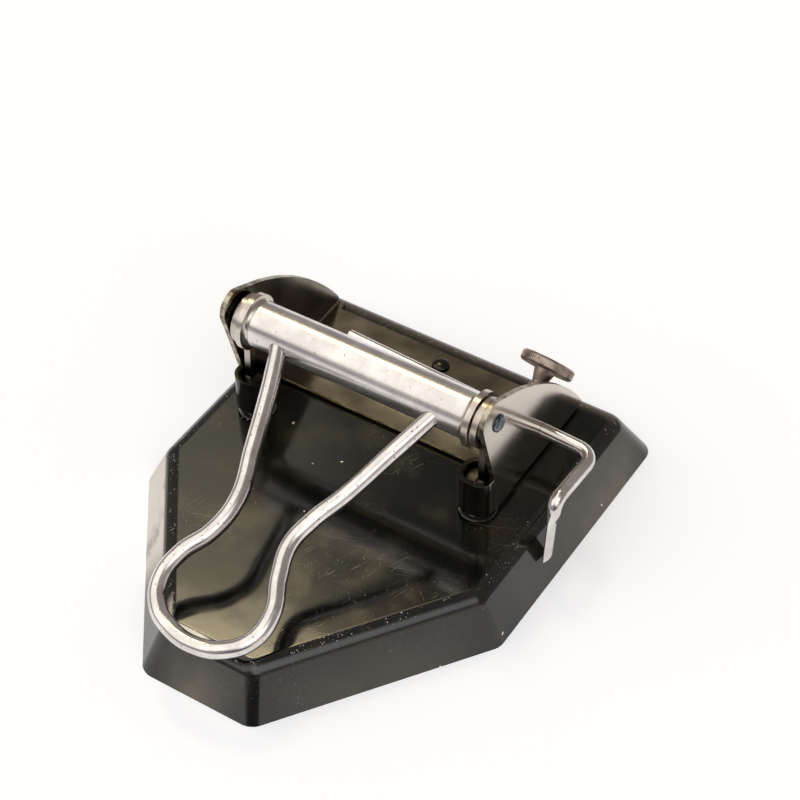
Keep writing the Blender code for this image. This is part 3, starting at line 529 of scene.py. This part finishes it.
# The cheeks' outline, from the low back corner up the bulged slope, over the round head and down to the neck
back_corner = Vector((CHEEK_BACK_Y, CHEEK_BACK_Z))
climb = on_head(60) - back_corner
bulge_way = Vector((climb.y, -climb.x)).normalized()
outline = []
for i in range(25):
    share = i / 24
    outline.append(back_corner + climb * share + bulge_way * CHEEK_BULGE * 4 * share * (1 - share))
for degrees in range(70, 191, 6):
    outline.append(on_head(degrees))
outline.append(Vector((NECK_Y, GUIDE_TOP)))
for before, after in zip(outline, outline[1:]):
    way = (after - before).normalized()
    saw((0, before.x, before.y), (0, way.y, -way.x), fill=False)
saw((0, STOP_Y, 0), (0, 1, 0), keep_both=True)
saw((0, 0, SLOT_Z), (0, 0, 1), keep_both=True)
pick(lambda f: f.calc_center_median().y < STOP_Y and f.calc_center_median().z < SLOT_Z)
bpy.ops.mesh.delete(type="FACE")
saw((0, PLATE_BACK_Y, 0), (0, 1, 0), keep_both=True)
saw((MIDDLE_X - PLATE_HALF, 0, 0), (1, 0, 0), keep_both=True)
saw((MIDDLE_X + PLATE_HALF, 0, 0), (1, 0, 0), keep_both=True)
pick(lambda f: f.calc_center_median().y > PLATE_BACK_Y
     and abs(f.calc_center_median().x - MIDDLE_X) < PLATE_HALF)
bpy.ops.mesh.delete(type="FACE")
bpy.ops.mesh.select_all(action="SELECT")
bpy.ops.mesh.remove_doubles(threshold=WELD)
bpy.ops.mesh.dissolve_limited(angle_limit=math.radians(0.5))
bpy.ops.mesh.select_all(action="SELECT")
bpy.ops.mesh.normals_make_consistent(inside=False)
plate = max(bmesh.from_edit_mesh(bracket.data).faces, key=lambda f: abs(f.normal.z) * f.calc_area())
if plate.normal.z > 0:
    bpy.ops.mesh.flip_normals()
bpy.ops.object.mode_set(mode="OBJECT")


def thin_japan(name, thick, thin):
    """Japan worn thin, so that the sheet's grey shows as a warm sheen.

    The outside of the right cheek carries a painted pale sheen: a light metal colour in place of its
    reflection.
    """
    made, tree, shader = finish(name, thin[:3], 0.2, 1.0)
    use = marked(tree, 0.0010, 0.03, 0.5, 0.009)
    place = put(tree, "ShaderNodeTexCoord").outputs
    outer = MIDDLE_X + CHEEK_X
    beside = xyz(tree, place["Object"])["X"]
    # Painted sheen on the right cheek's outer face: a pale metal colour, a little smoother, standing in for its
    # reflection.
    painted_sheen = product(tree, rise(tree, beside, outer - SHEET * 0.5, outer - SHEET * 0.2),
                     rise(tree, xyz(tree, place["Normal"])["X"], 0.9, 0.99))
    tone = blend(tree, rise(tree, use["Clouds"], 0.30, 0.70), thick, thin)
    tone = blend(tree, painted_sheen, tone, (0.60, 0.545, 0.480, 1))
    tone = blend(tree, product(tree, use["Scratches"], 0.4), tone, (0.55, 0.50, 0.42, 1))
    tree.links.new(blend(tree, use["Spots"], tone, (0.40, 0.36, 0.30, 1)), shader.inputs["Base Color"])
    dull = maths(tree, "MULTIPLY_ADD", use["Clouds"], 0.10, 0.13)
    tree.links.new(maths(tree, "SUBTRACT", dull, product(tree, painted_sheen, 0.05)), shader.inputs["Roughness"])
    emboss(tree, shader, use["Clouds"], 0.12, 0.0001)
    return made


def worn_and_shaded_rim(name, bright, dark):
    """Cut edges of the sheet, mottled where japan is rubbed off, most on the paper stop's top; the lower part
    is painted shade.
    """
    made, tree, shader = finish(name, (0.3, 0.26, 0.18), 0.35, 1.0)
    use = marked(tree, 0.0007, 0.25, 0.6, 0.0026)
    spot = xyz(tree, put(tree, "ShaderNodeTexCoord").outputs["Object"])
    left = maths(tree, "MAXIMUM", rise(tree, use["Clouds"], 0.62, 0.36), use["Spots"])
    stop = product(tree, rise(tree, spot["Y"], STOP_Y + 0.0010, STOP_Y + 0.0003),
                  rise(tree, spot["Z"], PLATE_Z + SHEET * 1.7, PLATE_Z + SHEET * 1.2))
    left = product(tree, left, maths(tree, "MULTIPLY_ADD", stop, -0.6, 1.0))
    # Painted shade: the lower part of the plate's cut edges goes dark, near black on the paper stop, over the
    # slot below.
    left = maths(tree, "MAXIMUM", left, rise(tree, spot["Z"], PLATE_Z + SHEET * 0.45, PLATE_Z + SHEET * 0.33))
    stop_gold_and_shade = blend(tree, left, (0.95, 0.80, 0.46, 1), (0.02, 0.017, 0.012, 1))
    tone = blend(tree, stop, blend(tree, left, bright, dark), stop_gold_and_shade)
    tree.links.new(tone, shader.inputs["Base Color"])
    dull = maths(tree, "MULTIPLY_ADD", use["Clouds"], 0.35, 0.15)
    tree.links.new(maths(tree, "MULTIPLY_ADD", stop, 0.30, dull), shader.inputs["Roughness"])
    emboss(tree, shader, use["Clouds"], 0.6, 0.0003)
    return made


bracket_japan = thin_japan("bracket_japan", (0.14, 0.122, 0.096, 1), (0.23, 0.205, 0.166, 1))
guide_japan = thin_japan("guide_japan", (0.020, 0.019, 0.016, 1), (0.060, 0.054, 0.044, 1))
rubbed_and_shaded_edge = worn_and_shaded_rim("rubbed_and_shaded_edge", (0.50, 0.455, 0.35, 1), (0.15, 0.132, 0.10, 1))
bracket.data.materials.append(bracket_japan)
bracket.data.materials.append(rubbed_and_shaded_edge)
work(bracket, "SOLIDIFY", thickness=SHEET, offset=-1.0, use_even_offset=True, material_offset_rim=1)
drill(bracket, PIVOT_HOLE, (MIDDLE_X, PIVOT_Y, PIVOT_Z), 0.1, (0, math.pi / 2, 0))
drill(bracket, ROD_RADIUS + PIN_GAP, (MIDDLE_X + CHEEK_X, ROD_Y, ROD_Z), 0.006, (0, math.pi / 2, -ROD_SKEW))
ease(bracket, 0.00018)
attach(bracket, "base")
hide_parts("bracket")

for side, sign in SIDES:
    guide_x = MIDDLE_X + sign * HOLE_SPACING / 2
    guide = start(side + "_punch_guide", bpy.ops.mesh.primitive_plane_add, size=2 * GUIDE_HALF - PRESS_GAP,
                  location=(guide_x, PUNCH_Y, SLOT_Z - 0.0002))
    bpy.ops.object.mode_set(mode="EDIT")
    bpy.ops.mesh.select_mode(type="VERT")
    bpy.ops.mesh.select_all(action="SELECT")
    bpy.ops.mesh.bevel(offset=GUIDE_CORNER, segments=10, affect="VERTICES")
    bpy.ops.mesh.select_all(action="SELECT")
    bpy.ops.mesh.extrude_region_move(TRANSFORM_OT_translate={"value": (0, 0, GUIDE_TOP - SLOT_Z + 0.0002)})
    pick(lambda f: abs(f.normal.z) > 0.9)
    bpy.ops.mesh.delete(type="ONLY_FACE")
    bpy.ops.mesh.select_all(action="SELECT")
    bpy.ops.mesh.normals_make_consistent(inside=False)
    bpy.ops.object.mode_set(mode="OBJECT")
    guide.data.materials.append(guide_japan)
    work(guide, "SOLIDIFY", thickness=SHEET, offset=-1.0, use_even_offset=True)
    ease(guide, 0.00018)
    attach(guide, "base")
    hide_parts("bracket")

# Rivets
# Three soft steel rivets with domed heads hold the plate to the base. The two at the sides are bare, and the
# one behind the tube is still black.
RIVET_HEAD = 0.0025
RIVET_RISE = 0.0010
RIVET_SHANK = 0.0014
RIVET_SIDE_X = 0.0230
RIVET_SIDE_Y = STOP_Y + 0.0150
RIVET_BACK_Y = STOP_Y + 0.0263
RIVET_FOOT = BASE_HEIGHT - BASE_SHEET - SEAT_GAP
PLATE_TOP = PLATE_Z + SHEET + SEAT_GAP
RIVET_PLACES = {
    "left": (MIDDLE_X - RIVET_SIDE_X, RIVET_SIDE_Y),
    "right": (MIDDLE_X + RIVET_SIDE_X, RIVET_SIDE_Y),
    "back": (MIDDLE_X, RIVET_BACK_Y),
}
for side, (x, y) in RIVET_PLACES.items():
    dome = [(RIVET_HEAD * math.sin(math.radians(a)), PLATE_TOP + RIVET_RISE * math.cos(math.radians(a)))
            for a in range(0, 91, 10)]
    outline = dome + [(RIVET_SHANK, PLATE_TOP), (RIVET_SHANK, RIVET_FOOT), (RIVET_HEAD, RIVET_FOOT),
                      (RIVET_HEAD * 0.8, RIVET_FOOT - RIVET_RISE), (0, RIVET_FOOT - RIVET_RISE)]
    rivet = turn("rivet_head_" + side, outline, (x, y, 0), (0, 0, 1), 64)
    ease(rivet, 0.0)
    rivet.data.materials.append(guide_japan if side == "back" else steel)
    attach(rivet, "base")
    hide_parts("rivet_" + side)

# Punches
# Two round steel bars that slide in the guides, ground at the foot to the cutting edge. Each has a flat for
# the strap and a cross pin through its head, and is dark with oil.
PUNCH_RADIUS = 0.0032
PUNCH_FOOT = BASE_HEIGHT - 0.0004
PIN_Z = BASE_HEIGHT + 0.0094
PUNCH_HEAD = PIN_Z + 0.0022
PIN_RADIUS = 0.0010
FLANGE_X = 0.0352       # outer side of the lever's flanges, from the middle
STRAP_IN = FLANGE_X + SEAT_GAP
STRAP_OUT = STRAP_IN + 0.0018
STRAP_EYE = 0.0026
EYE_BORE = 0.0017
FLAT_FOOT = PIN_Z - STRAP_EYE - 0.0007

oiled, tree, shader = finish("oiled_steel", (0.10, 0.082, 0.066), 0.36, 1.0)
use = marked(tree, 0.0006, 0.3, 0.8, 0.002)
tone = blend(tree, rise(tree, use["Clouds"], 0.35, 0.7), (0.055, 0.044, 0.036, 1), (0.15, 0.125, 0.10, 1))
tree.links.new(tone, shader.inputs["Base Color"])
tree.links.new(maths(tree, "MULTIPLY_ADD", use["Clouds"], 0.3, 0.22), shader.inputs["Roughness"])

for side, sign in SIDES:
    x = MIDDLE_X + sign * HOLE_SPACING / 2
    outline = [(0, PUNCH_HEAD), (PUNCH_RADIUS, PUNCH_HEAD), (PUNCH_RADIUS, PUNCH_FOOT), (0, PUNCH_FOOT)]
    punch = turn(side + "_punch_bar", outline, (x, PUNCH_Y, 0), (0, 0, 1))
    flat_x = MIDDLE_X + sign * (STRAP_IN - SEAT_GAP)
    mill = start("mill", bpy.ops.mesh.primitive_cube_add, size=1.0, scale=(0.01, 0.01, 0.02),
                 location=(flat_x + sign * 0.005, PUNCH_Y, FLAT_FOOT + 0.01))
    work(punch, "BOOLEAN", operation="DIFFERENCE", solver="EXACT", object=mill)
    bpy.data.objects.remove(mill, do_unlink=True)
    ease(punch, 0.00015)
    punch.data.materials.append(oiled)
    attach(punch, side + "_punch_body")
    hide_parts(side + "_punch")

    inner = sign * (HOLE_SPACING / 2 - PUNCH_RADIUS * 0.8)
    outer = sign * (STRAP_OUT + SEAT_GAP)
    pin = turn(side + "_cross_pin", [(0, outer), (PIN_RADIUS, outer), (PIN_RADIUS, inner), (0, inner)],
               (MIDDLE_X, PUNCH_Y, PIN_Z), (1, 0, 0), 48)
    ease(pin, 0.0001)
    pin.data.materials.append(oiled)
    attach(pin, side + "_punch_body")
    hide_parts(side + "_punch_pin")

# Pivots
# A short steel pin riveted into each cheek, on which the lever turns. Its flat head stands a little
# proud of the cheek and has gone blue-grey.
PIVOT_RADIUS = 0.0020
PIVOT_HEAD = 0.0025
PIVOT_END = CHEEK_X + 0.0009
PIVOT_SEAT = CHEEK_X + 0.00005
PIVOT_REACH = 0.0122     # from the cheek's outer face inwards
blued, tree, shader = finish("blued_steel", (0.16, 0.18, 0.22), 0.3, 1.0)
use = marked(tree, 0.0006, 0.3, 0.8, 0.002)
tone = blend(tree, rise(tree, use["Clouds"], 0.4, 0.65), (0.07, 0.08, 0.11, 1), (0.26, 0.28, 0.32, 1))
tree.links.new(tone, shader.inputs["Base Color"])
tree.links.new(maths(tree, "MULTIPLY_ADD", use["Clouds"], 0.3, 0.15), shader.inputs["Roughness"])

for side, sign in SIDES:
    outline = [(0, PIVOT_END), (PIVOT_HEAD * 0.75, PIVOT_END), (PIVOT_HEAD, CHEEK_X + 0.0004),
               (PIVOT_HEAD, PIVOT_SEAT), (PIVOT_RADIUS, PIVOT_SEAT), (PIVOT_RADIUS, CHEEK_X - PIVOT_REACH),
               (0, CHEEK_X - PIVOT_REACH)]
    pivot = turn(side + "_pivot_pin", outline, (MIDDLE_X, PIVOT_Y, PIVOT_Z), (sign, 0, 0), 64)
    ease(pivot, 0.00012)
    pivot.data.materials.append(blued)
    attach(pivot, "base")
    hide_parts(side + "_pivot")

# Lever tube and its end plugs
# A nickel-plated brass tube, closed at each end by a turned plug whose flange hollows out of the tube. The
# plugs turn on pivots that are off their centre, so lifting the handle carries tube, straps and punches up.
TUBE_Z = PIVOT_Z - 0.0018
TUBE_RADIUS = 0.0064
TUBE_WALL = 0.0010
FLANGE_RADIUS = 0.0078
FLANGE_WIDTH = 0.0030
JOURNAL_RADIUS = 0.0049
SPIGOT_LENGTH = 0.0046    # of each plug, inside the tube
WIRE_RADIUS = 0.0023
WIRE_SEAT = 0.009        # depth of the holes for the handle's ends
HANDLE_SLOPE = math.radians(19.5)
HANDLE_PATH = [
    (-0.0233, 0.0052), (-0.0223, 0.0077), (-0.0191, 0.0162), (-0.0137, 0.0330), (-0.0096, 0.0470),
    (-0.0108, 0.0570), (-0.0150, 0.0655), (-0.0157, 0.0735), (-0.0122, 0.0800), (-0.0060, 0.0835),
    (0.0018, 0.0845), (0.0094, 0.0822), (0.0144, 0.0770), (0.0152, 0.0690), (0.0115, 0.0600),
    (0.0093, 0.0515), (0.0108, 0.0440), (0.0150, 0.0335), (0.0195, 0.0190), (0.0231, 0.0077),
    (0.0239, 0.0052),
]


def nickel_plate(name, roughness, pits, streaks, worn):
    """Nickel plate: bright and warm, with drawn-out streaks, dark pits, and brown where it is worn."""
    made, tree, shader = finish(name, (0.78, 0.76, 0.74), roughness, 1.0)
    use = marked(tree, 0.0007, pits, 0.7, 0.006)
    where = put(tree, "ShaderNodeTexCoord").outputs["Object"]
    drawn = put(tree, "ShaderNodeVectorMath", {0: where, 1: streaks}, operation="MULTIPLY").outputs[0]
    streak = noise(tree, drawn, 1.0, 3.0)
    tone = blend(tree, rise(tree, use["Clouds"], 0.35, 0.7), (0.70, 0.67, 0.65, 1), (0.84, 0.82, 0.79, 1))
    tone = blend(tree, product(tree, rise(tree, streak, 0.62, 0.40), 0.16), tone, (0.55, 0.52, 0.52, 1))
    tone = blend(tree, rise(tree, use["Clouds"], 0.70, 0.30, worn * 0.5, worn), tone, (0.44, 0.36, 0.29, 1))
    tree.links.new(blend(tree, use["Spots"], tone, (0.22, 0.17, 0.14, 1)), shader.inputs["Base Color"])
    rough = maths(tree, "MULTIPLY_ADD", streak, 0.12, roughness - 0.06)
    rough = maths(tree, "ADD", rough, product(tree, use["Spots"], 0.3))
    tree.links.new(rough, shader.inputs["Roughness"])
    skin = maths(tree, "SUBTRACT", product(tree, streak, 0.25), use["Spots"])
    skin = maths(tree, "SUBTRACT", skin, product(tree, use["Scratches"], 0.4))
    emboss(tree, shader, skin, 0.25, 0.00004)
    return made


tube_nickel = nickel_plate("tube_nickel", 0.26, 0.08, (60.0, 1000.0, 1000.0), 0.06)
flange_in = FLANGE_X - FLANGE_WIDTH
tube = start("lever_sleeve", bpy.ops.mesh.primitive_cylinder_add, vertices=160, radius=TUBE_RADIUS,
             depth=2 * (flange_in - 0.00004), end_fill_type="NOTHING", location=(MIDDLE_X, PIVOT_Y, TUBE_Z),
             rotation=(0, math.pi / 2, 0))
work(tube, "SOLIDIFY", thickness=TUBE_WALL, offset=-1.0, use_even_offset=True)
handle_way = Vector((0, -math.cos(HANDLE_SLOPE), -math.sin(HANDLE_SLOPE)))
handle_root = Vector((MIDDLE_X, PIVOT_Y, PIVOT_Z))
handle_points = [handle_root + Vector((x, 0, 0)) + handle_way * reach for x, reach in HANDLE_PATH]
for end, beside in ((0, 1), (-1, -2)):
    aim = (handle_points[beside] - handle_points[end]).normalized()
    drill(tube, WIRE_RADIUS + 0.0001, handle_points[end] + aim * (WIRE_SEAT / 2), WIRE_SEAT,
          aim.to_track_quat("Z", "Y").to_euler())
ease(tube, 0.00015)
tube.data.materials.append(tube_nickel)
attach(tube, "lever")
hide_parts("lever_tube")

plug_nickel = nickel_plate("plug_nickel", 0.24, 0.12, (1500.0, 300.0, 300.0), 0.75)
for side, sign in SIDES:
    journal_end = STRAP_OUT + SEAT_GAP
    spigot = TUBE_RADIUS - TUBE_WALL - SEAT_GAP
    spigot_end = flange_in - SPIGOT_LENGTH
    cove = FLANGE_RADIUS - TUBE_RADIUS - 0.0001
    hollow = [(FLANGE_RADIUS - cove * math.sin(math.radians(a)), flange_in + cove * math.cos(math.radians(a)))
              for a in range(0, 91, 15)]
    outline = [(0, journal_end), (JOURNAL_RADIUS, journal_end), (JOURNAL_RADIUS, FLANGE_X),
               (FLANGE_RADIUS, FLANGE_X)]
    outline += hollow + [(spigot, flange_in), (spigot, spigot_end), (0, spigot_end)]
    plug = turn(side + "_tube_plug", outline, (MIDDLE_X, PIVOT_Y, TUBE_Z), (sign, 0, 0), 128)
    bore_length = PIVOT_REACH + SEAT_GAP
    drill(plug, PIVOT_RADIUS + PIN_GAP, (MIDDLE_X + sign * (CHEEK_X - bore_length / 2), PIVOT_Y, PIVOT_Z),
          bore_length, (0, math.pi / 2, 0))
    ease(plug, 0.0003, 4)
    plug.data.materials.append(plug_nickel)
    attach(plug, "lever")
    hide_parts(side + "_end_plug")

# Straps
# Stamped nickel-plated links between the lever and the punches: a ring that runs on the plug's journal, a
# tail, and an eye round the punch's cross pin; each darkens towards the bottom, near black at the eye.
STRAP_BORE = JOURNAL_RADIUS + 0.0002
STRAP_RING = STRAP_BORE + 0.0017
TAIL_WIDTH = 0.0024
strap_nickel = nickel_plate("strap_nickel", 0.28, 0.15, (300.0, 300.0, 1500.0), 0.9)
tree = strap_nickel.node_tree
tint = tree.nodes["Principled BSDF"].inputs["Base Color"]
# Darker towards the bottom: the colour goes near black from just above the guide's top down.
low_down = rise(tree, xyz(tree, put(tree, "ShaderNodeTexCoord").outputs["Object"])["Z"], 0.034, 0.027)
tree.links.new(blend(tree, low_down, tint.links[0].from_socket, (0.05, 0.042, 0.034, 1)), tint)

drop = Vector((0, PUNCH_Y - PIVOT_Y, PIN_Z - TUBE_Z))
sideways = (0, math.pi / 2, 0)
for side, sign in SIDES:
    strap_x = MIDDLE_X + sign * (STRAP_IN + STRAP_OUT) / 2
    thick = STRAP_OUT - STRAP_IN
    ring_place = Vector((strap_x, PIVOT_Y, TUBE_Z))
    ring = start(side + "_link_strap", bpy.ops.mesh.primitive_cylinder_add, vertices=128, radius=STRAP_RING,
                 depth=thick, location=ring_place, rotation=sideways)
    tail = start("tail", bpy.ops.mesh.primitive_cube_add, size=1.0, location=ring_place + drop / 2,
                 scale=(thick * 0.999, TAIL_WIDTH, drop.length), rotation=(math.atan2(drop.y, -drop.z), 0, 0))
    eye = start("eye", bpy.ops.mesh.primitive_cylinder_add, vertices=64, radius=STRAP_EYE,
                depth=thick * 0.998, location=(strap_x, PUNCH_Y, PIN_Z), rotation=sideways)
    for part in (tail, eye):
        work(ring, "BOOLEAN", operation="UNION", solver="EXACT", object=part)
        bpy.data.objects.remove(part, do_unlink=True)
    drill(ring, STRAP_BORE, ring_place, 0.006, sideways, 128)
    drill(ring, EYE_BORE, (strap_x, PUNCH_Y, PIN_Z), 0.006, sideways)
    ease(ring, 0.00022, 3)
    ring.data.materials.append(strap_nickel)
    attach(ring, side + "_strap_body")
    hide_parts(side + "_strap")

# Press handle
# One length of thick steel wire, bent to a waisted loop in a plane and nickel plated. Its two ends are driven
# into the tube. The plate is worn and pitted brown on the loop, where the hand presses.
wire_nickel = nickel_plate("wire_nickel", 0.20, 0.34, (320.0, 320.0, 320.0), 0.15)


def draw_wire(name, points, radius, smooth=None):
    """Draws a round wire through points: smooth steps between them, or straight where none are given."""
    bpy.ops.object.select_all(action="DESELECT")
    bpy.ops.curve.primitive_bezier_curve_add(location=(0, 0, 0))
    path = bpy.context.object
    path.name = name
    shape = path.data
    shape.splines.clear()
    shape.dimensions = "3D"
    shape.bevel_depth = radius
    shape.bevel_resolution = 8
    shape.use_fill_caps = True
    if smooth:
        shape.resolution_u = smooth
        spline = shape.splines.new("BEZIER")
        spline.bezier_points.add(len(points) - 1)
        for knot, point in zip(spline.bezier_points, points):
            knot.co = point
            knot.handle_left_type = "AUTO"
            knot.handle_right_type = "AUTO"
    else:
        spline = shape.splines.new("POLY")
        spline.points.add(len(points) - 1)
        for knot, point in zip(spline.points, points):
            knot.co = (*point, 1)
    bpy.ops.object.convert(target="MESH")
    piece = bpy.context.object
    piece.data.name = name
    bpy.ops.object.mode_set(mode="EDIT")
    bpy.ops.mesh.select_all(action="SELECT")
    bpy.ops.mesh.remove_doubles(threshold=WELD)
    bpy.ops.mesh.normals_make_consistent(inside=False)
    bpy.ops.object.mode_set(mode="OBJECT")
    return piece


handle = draw_wire("press_handle", handle_points, WIRE_RADIUS, 14)
ease(handle, 0.0)
handle.data.materials.append(wire_nickel)
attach(handle, "lever")
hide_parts("handle_loop")

# Side gauge
# A nickel-plated rod that slides through the right cheek and sets how far the paper reaches to the side.
# It is bent forward, then down, and hammered flat at the end into a paddle that rests beside the base.
ROD_IN = -0.0250
ROD_OUT = 0.0535
ROD_BEND = 0.0046
LEG_Z = ROD_Z + 0.0008
LEG_LENGTH = 0.0209
LEG_STEPS = 14
ELBOW = 0.0036
PADDLE_WIDTH = 0.0050
PADDLE_THICK = 0.0015
PADDLE_FOOT = 0.0068
PADDLE_BACK = 0.0022


def on_rod(x):
    """A point of the rod's axis, which leans back towards its inner end."""
    return Vector((x, ROD_Y - (x - MIDDLE_X - CHEEK_X) * math.tan(ROD_SKEW), ROD_Z))


def down_leg(step):
    """A point of the rod's axis between the elbow and the paddle's foot."""
    return elbow_foot.lerp(paddle_foot, step / LEG_STEPS)


bend_turn = math.pi / 2 - ROD_SKEW
leg_y = on_rod(ROD_OUT).y - LEG_LENGTH
bend_x = ROD_OUT - ROD_BEND
bend_y = on_rod(ROD_OUT).y - ROD_BEND * math.tan(bend_turn / 2)
route = [on_rod(ROD_IN)]
for i in range(17):
    angle = bend_turn * (1 - i / 16)
    route.append(Vector((bend_x + ROD_BEND * math.cos(angle), bend_y + ROD_BEND * math.sin(angle), ROD_Z)))
for i in range(17):
    angle = math.radians(90 + 85 * i / 16)
    bent = (leg_y + ELBOW + ELBOW * math.cos(angle), LEG_Z - ELBOW + ELBOW * math.sin(angle))
    route.append(Vector((ROD_OUT, *bent)))
elbow_foot = route[-1]
paddle_foot = Vector((ROD_OUT, leg_y - PADDLE_BACK, PADDLE_FOOT))
for i in range(1, LEG_STEPS + 1):
    route.append(down_leg(i))
gauge = draw_wire("side_gauge", route, ROD_RADIUS)
bpy.ops.object.mode_set(mode="EDIT")
rod_width = 2 * ROD_RADIUS
leg_way = (paddle_foot - elbow_foot).normalized()
for i in range(1, LEG_STEPS + 1):
    ring_middle = down_leg(i)
    share = min((elbow_foot.z - ring_middle.z) / rod_width, 1.0)
    share = share * share * (3 - 2 * share)
    pick(lambda v: abs(v.co.z - ring_middle.z) < 0.0002 + abs(v.co.y - ring_middle.y) * 0.25
         and v.co.x > ROD_OUT - 0.003 and v.co.z < elbow_foot.z + 0.0003
         and min(range(LEG_STEPS + 1), key=lambda k: (v.co - down_leg(k)).dot(leg_way) ** 2) == i, "verts")
    narrow = 1 + share * (PADDLE_THICK / rod_width - 1)
    widen = 1 + share * (PADDLE_WIDTH / rod_width - 1)
    bpy.ops.transform.resize(value=(narrow, widen, 1), center_override=ring_middle)
bpy.ops.object.mode_set(mode="OBJECT")
ease(gauge, 0.0002, 3, 40)
gauge.data.materials.append(nickel_plate("gauge_nickel", 0.18, 0.20, (90.0, 600.0, 600.0), 0.15))
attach(gauge, "gauge")
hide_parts("gauge_rod")

# Bush
# A short steel bush seated against the inside of the right cheek. The rod slides through it, and a hole in
# its top takes the thumbscrew.
BUSH_RADIUS = 0.0043
BUSH_LENGTH = 0.0112
SCREW_X = MIDDLE_X + CHEEK_X - SHEET - 0.0054
SCREW_RADIUS = 0.0018
SCREW_LEAN = math.radians(37.0)
bush_end = MIDDLE_X + CHEEK_X - SHEET - 0.0001 - BUSH_RADIUS * math.tan(ROD_SKEW)
bush_bore = ROD_RADIUS + SEAT_GAP
outline = [(bush_bore, 0), (BUSH_RADIUS, 0), (BUSH_RADIUS, -BUSH_LENGTH), (bush_bore, -BUSH_LENGTH)]
rod_way = Vector((math.cos(ROD_SKEW), -math.sin(ROD_SKEW), 0))
bush = turn("gauge_guide_bush", outline, on_rod(bush_end), rod_way, 96, closed=True)
screw_way = Matrix.Rotation(-ROD_SKEW, 3, "Z") @ Vector((0, math.cos(SCREW_LEAN), math.sin(SCREW_LEAN)))
screw_root = on_rod(SCREW_X)
drill(bush, SCREW_RADIUS + 0.0001, screw_root + screw_way * BUSH_RADIUS, BUSH_RADIUS * 2 - 0.002,
      (SCREW_LEAN - math.pi / 2, 0, -ROD_SKEW))
ease(bush, 0.0003, 3)
bush.data.materials.append(steel)
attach(bush, "base")
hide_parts("gauge_bush")

# Thumbscrew
# A turned brass screw with a knurled disc for a head, which clamps the gauge's rod in its bush.
# The brass has tarnished to a dull brownish pink.
NECK_RADIUS = 0.0030
NECK_LENGTH = 0.0044
DISC_RADIUS = 0.0075
DISC_THICK = 0.0029
DISC_MIDDLE = 0.0158    # from the rod's axis
DISC_DISH = 0.00015     # how far its middle is sunk
DISC_EDGE = 0.0005
KNURL_FACES = 144
low = DISC_MIDDLE - DISC_THICK / 2
high = DISC_MIDDLE + DISC_THICK / 2
tip = ROD_RADIUS + SEAT_GAP
outline = [(0, high - DISC_DISH), (DISC_RADIUS * 0.72, high - DISC_DISH), (DISC_RADIUS * 0.8, high),
           (DISC_RADIUS - DISC_EDGE, high), (DISC_RADIUS, high - DISC_EDGE), (DISC_RADIUS, low + DISC_EDGE),
           (DISC_RADIUS - DISC_EDGE, low), (NECK_RADIUS, low), (SCREW_RADIUS * 1.15, low - NECK_LENGTH * 0.7),
           (SCREW_RADIUS, low - NECK_LENGTH), (SCREW_RADIUS, ROD_RADIUS + 0.0006), (SCREW_RADIUS - 0.0004, tip),
           (0, tip)]
screw = turn("knurled_thumbscrew", outline, screw_root, screw_way, KNURL_FACES)
bpy.ops.object.mode_set(mode="EDIT")
knurl_way = screw_way.orthogonal().normalized()
knurl_side = screw_way.cross(knurl_way)


def on_knurl(face):
    """Every second face round the rim of the screw's head."""
    middle = face.calc_center_median() - screw_root
    along = middle.dot(screw_way)
    out = middle - screw_way * along
    if out.length < DISC_RADIUS * 0.97 or not low < along < high:
        return False
    angle = math.atan2(out.dot(knurl_side), out.dot(knurl_way))
    return int((angle + math.pi) / (2 * math.pi) * KNURL_FACES) % 2 == 0


pick(on_knurl)
bpy.ops.mesh.inset(thickness=0.00003, depth=-0.00022, use_individual=True)
bpy.ops.object.mode_set(mode="OBJECT")
ease(screw, 0.0, angle=28)
brass, tree, shader = finish("tarnished_brass", (0.40, 0.31, 0.27), 0.42, 1.0)
use = marked(tree, 0.0008, 0.3, 0.6, 0.003)
tone = blend(tree, rise(tree, use["Clouds"], 0.35, 0.68), (0.26, 0.200, 0.165, 1), (0.56, 0.465, 0.405, 1))
tree.links.new(blend(tree, use["Spots"], tone, (0.10, 0.07, 0.055, 1)), shader.inputs["Base Color"])
tree.links.new(maths(tree, "MULTIPLY_ADD", use["Clouds"], 0.35, 0.25), shader.inputs["Roughness"])
emboss(tree, shader, use["Clouds"], 0.3, 0.0001)
screw.data.materials.append(brass)
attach(screw, "screw")
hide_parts("thumbscrew")
